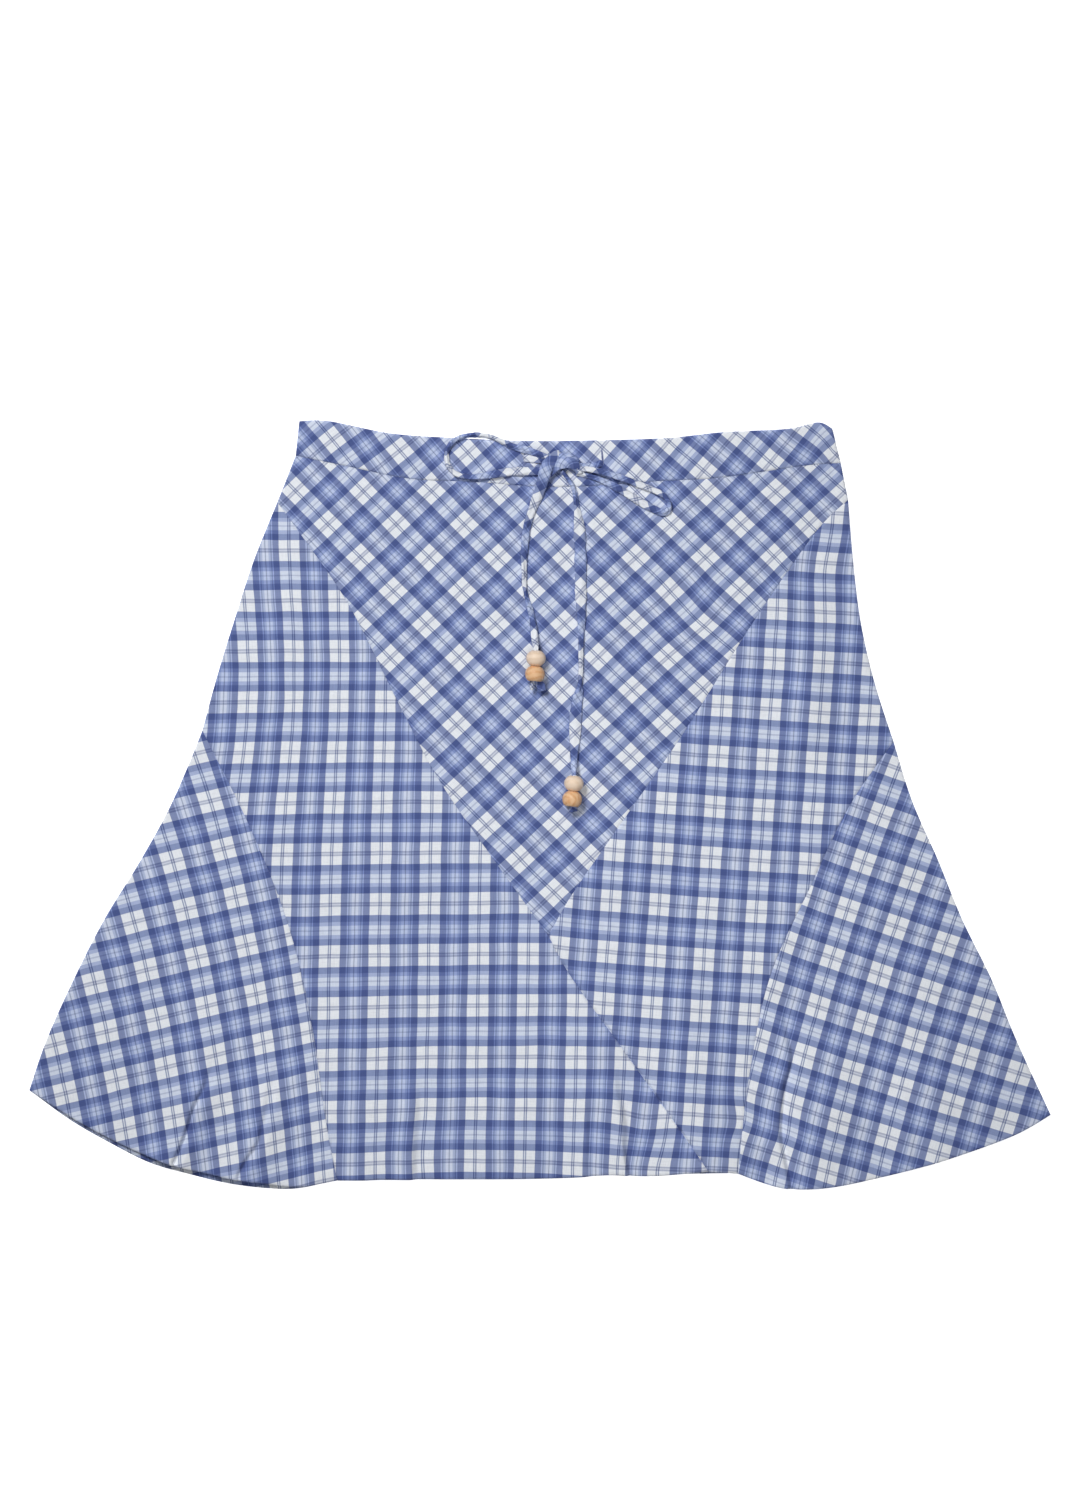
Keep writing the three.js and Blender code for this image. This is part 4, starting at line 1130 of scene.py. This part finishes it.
def bead(name, string, shift, material, flatness=1.0):
    """A turned bead with softly broken edges round its bore; flatness below 1 squares its lower end."""
    sides, arc = 48, 20
    widest = math.asin(BEAD_HEIGHT / 2 / BEAD_ROUNDNESS)
    profile = []
    for i in range(arc + 1):
        angle = -widest + 2 * widest * i / arc
        roundness = flatness if angle > 0 else 1.0
        radius = BEAD_WIDTH / 2 * math.cos(angle) ** roundness
        profile.append((radius, BEAD_ROUNDNESS * math.sin(angle) + shift))
    half = BEAD_HEIGHT / 2
    bore = BEAD_BORE / 2
    profile += [(bore + out, half - deep + shift) for out, deep in BORE_LIP]
    profile += [(bore + out, deep - half + shift) for out, deep in BORE_LIP[::-1]]
    points = turned_points(string, profile, sides)
    faces = ring_faces(len(profile), sides, True)
    made = mesh_object(name + "_wood", points, faces, [(0, 0)] * len(points), material)
    stand_for(made, name)
    return made


# Below the beads the drawstring is cut off and splays into short raw tips, as routes of their own.
TIPS = {
    "left": [
        {"route": [(-4, 101.5, 8.3, 4.2, 0), (-2.2, 98.8, 8, 5.6, 0), (0.4, 95.8, 7.2, 7, 0),
                   (1.8, 91, 6.2, 6.6, 0)], "white_at": -9},
        {"route": [(-4.2, 101.5, 8.2, 3, 0), (-5.4, 98.4, 7.8, 3.2, 10), (-6.4, 95.4, 7, 3.6, 20),
                   (-6.7, 92.1, 6.4, 3, 30)], "white_at": 6},
    ],
    "right": [
        {"route": [(25.8, 0.5, 8.3, 4, 0), (26.2, -2.4, 8.1, 5.2, 0), (26.8, -4.6, 7.6, 6.2, 0),
                   (27.2, -7, 7, 6.6, 0)], "white_at": -9},
    ],
}


def tie_end(string):
    """The drawstring drawn through the two beads, and its cut tips below them."""
    sides = 16
    bottom = BEAD_HEIGHT * 1.5 + SEAM_GAP * 2
    top = -BEAD_HEIGHT / 2 - 1
    profile = [
        (0.05, top), (1.6, top + 0.2), (2.0, top + 1),
        (2.0, bottom - 1), (1.8, bottom - 0.2), (0.05, bottom),
    ]
    points = turned_points(string, profile, sides)
    uvs = [(0.3 + below / REPEAT, turn / sides * 0.3) for _, below in profile for turn in range(sides)]
    faces = ring_faces(len(profile), sides, False)
    faces.append(list(range(sides)))
    faces.append([(len(profile) - 1) * sides + turn for turn in range(sides)][::-1])
    parts = [(np.array(points), faces, np.array(uvs))]
    parts += [ribbon_mesh(tip["route"], thick=1.6, seed=90 + number, white_at=tip["white_at"])[:3]
              for number, tip in enumerate(TIPS[string])]
    made = mesh_object(f"tie_end_{string}_cloth", *join_parts(parts), TIE_PLAID)
    stand_for(made, f"tie_end_{string}")
    return made


for string in BEAD_STRINGS:
    bead(f"bead_{string}_upper", string, 0.0, PALE_BEECH)
    bead(f"bead_{string}_lower", string, BEAD_HEIGHT + SEAM_GAP, TAN_BEECH, flatness=0.6)
    tie_end(string)

tie_piece("bow_loop_left", LOOP_LEFT, 71, white_at=105)
tie_piece("bow_loop_right", LOOP_RIGHT, 72, white_at=118)
tie_piece("tie_tail_left", TAIL_LEFT, 73, white_at=53)
tie_piece("tie_tail_right", TAIL_RIGHT, 74, white_at=102)

# ------------------------------------------------------------------ camera, floor and light

IMAGE_WIDTH, IMAGE_HEIGHT = 1080, 1489
PIXEL = 0.815                       # millimetres of cloth in one pixel of the frame
VIEW_MIDDLE = (0.0, 47.7)           # the drawing's point in the middle of the frame
CAMERA_HEIGHT = 3000.0
SENSOR = 36.0

camera_data = bpy.data.cameras.new("camera")
camera_data.sensor_width = SENSOR
camera_data.lens = SENSOR * CAMERA_HEIGHT / (IMAGE_HEIGHT * PIXEL)
camera = bpy.data.objects.new("camera", camera_data)
camera.location = (*((np.array(VIEW_MIDDLE) + SHIFT) * MM), CAMERA_HEIGHT * MM)
bpy.context.scene.collection.objects.link(camera)
bpy.context.scene.camera = camera

FLOOR_SIZE, FLOOR_DROP = 6.0, 0.0002
bpy.ops.mesh.primitive_plane_add(size=FLOOR_SIZE, location=(0, 0, -FLOOR_DROP))
floor = bpy.context.object
floor.name = "floor"
paper = new_material("white_paper")
paper_shader = add(paper.node_tree, "ShaderNodeBsdfPrincipled", {
    "Base Color": linear("#E7E7E7"), "Roughness": 0.95, "Specular IOR Level": 0.1,
    "Emission Color": linear("#FFFFFF"), "Emission Strength": 0.85,
})
add(paper.node_tree, "ShaderNodeOutputMaterial", {0: paper_shader.outputs[0]})
floor.data.materials.append(paper)

ROOM_LIGHT = 0.04
world = bpy.data.worlds.new("studio")
world.use_nodes = True
world.node_tree.nodes["Background"].inputs[0].default_value = (1, 1, 1, 1)
world.node_tree.nodes["Background"].inputs[1].default_value = ROOM_LIGHT
bpy.context.scene.world = world


def soft_light(name, place, size, power):
    """A square light that faces the middle of the skirt: its size in metres and its power in watts."""
    data = bpy.data.lights.new(name, "AREA")
    data.shape = "SQUARE"
    data.size = size
    data.energy = power
    lamp = bpy.data.objects.new(name, data)
    lamp.location = place
    lamp.rotation_mode = "QUATERNION"
    lamp.rotation_quaternion = (-Vector(place)).to_track_quat("-Z", "Y")
    bpy.context.scene.collection.objects.link(lamp)


soft_light("key_light", (-0.85, 1.35, 2.3), size=0.75, power=52)
soft_light("fill_light", (0.12, -0.2, 0.9), size=0.45, power=2.6)
bpy.context.scene.view_settings.view_transform = "Standard"
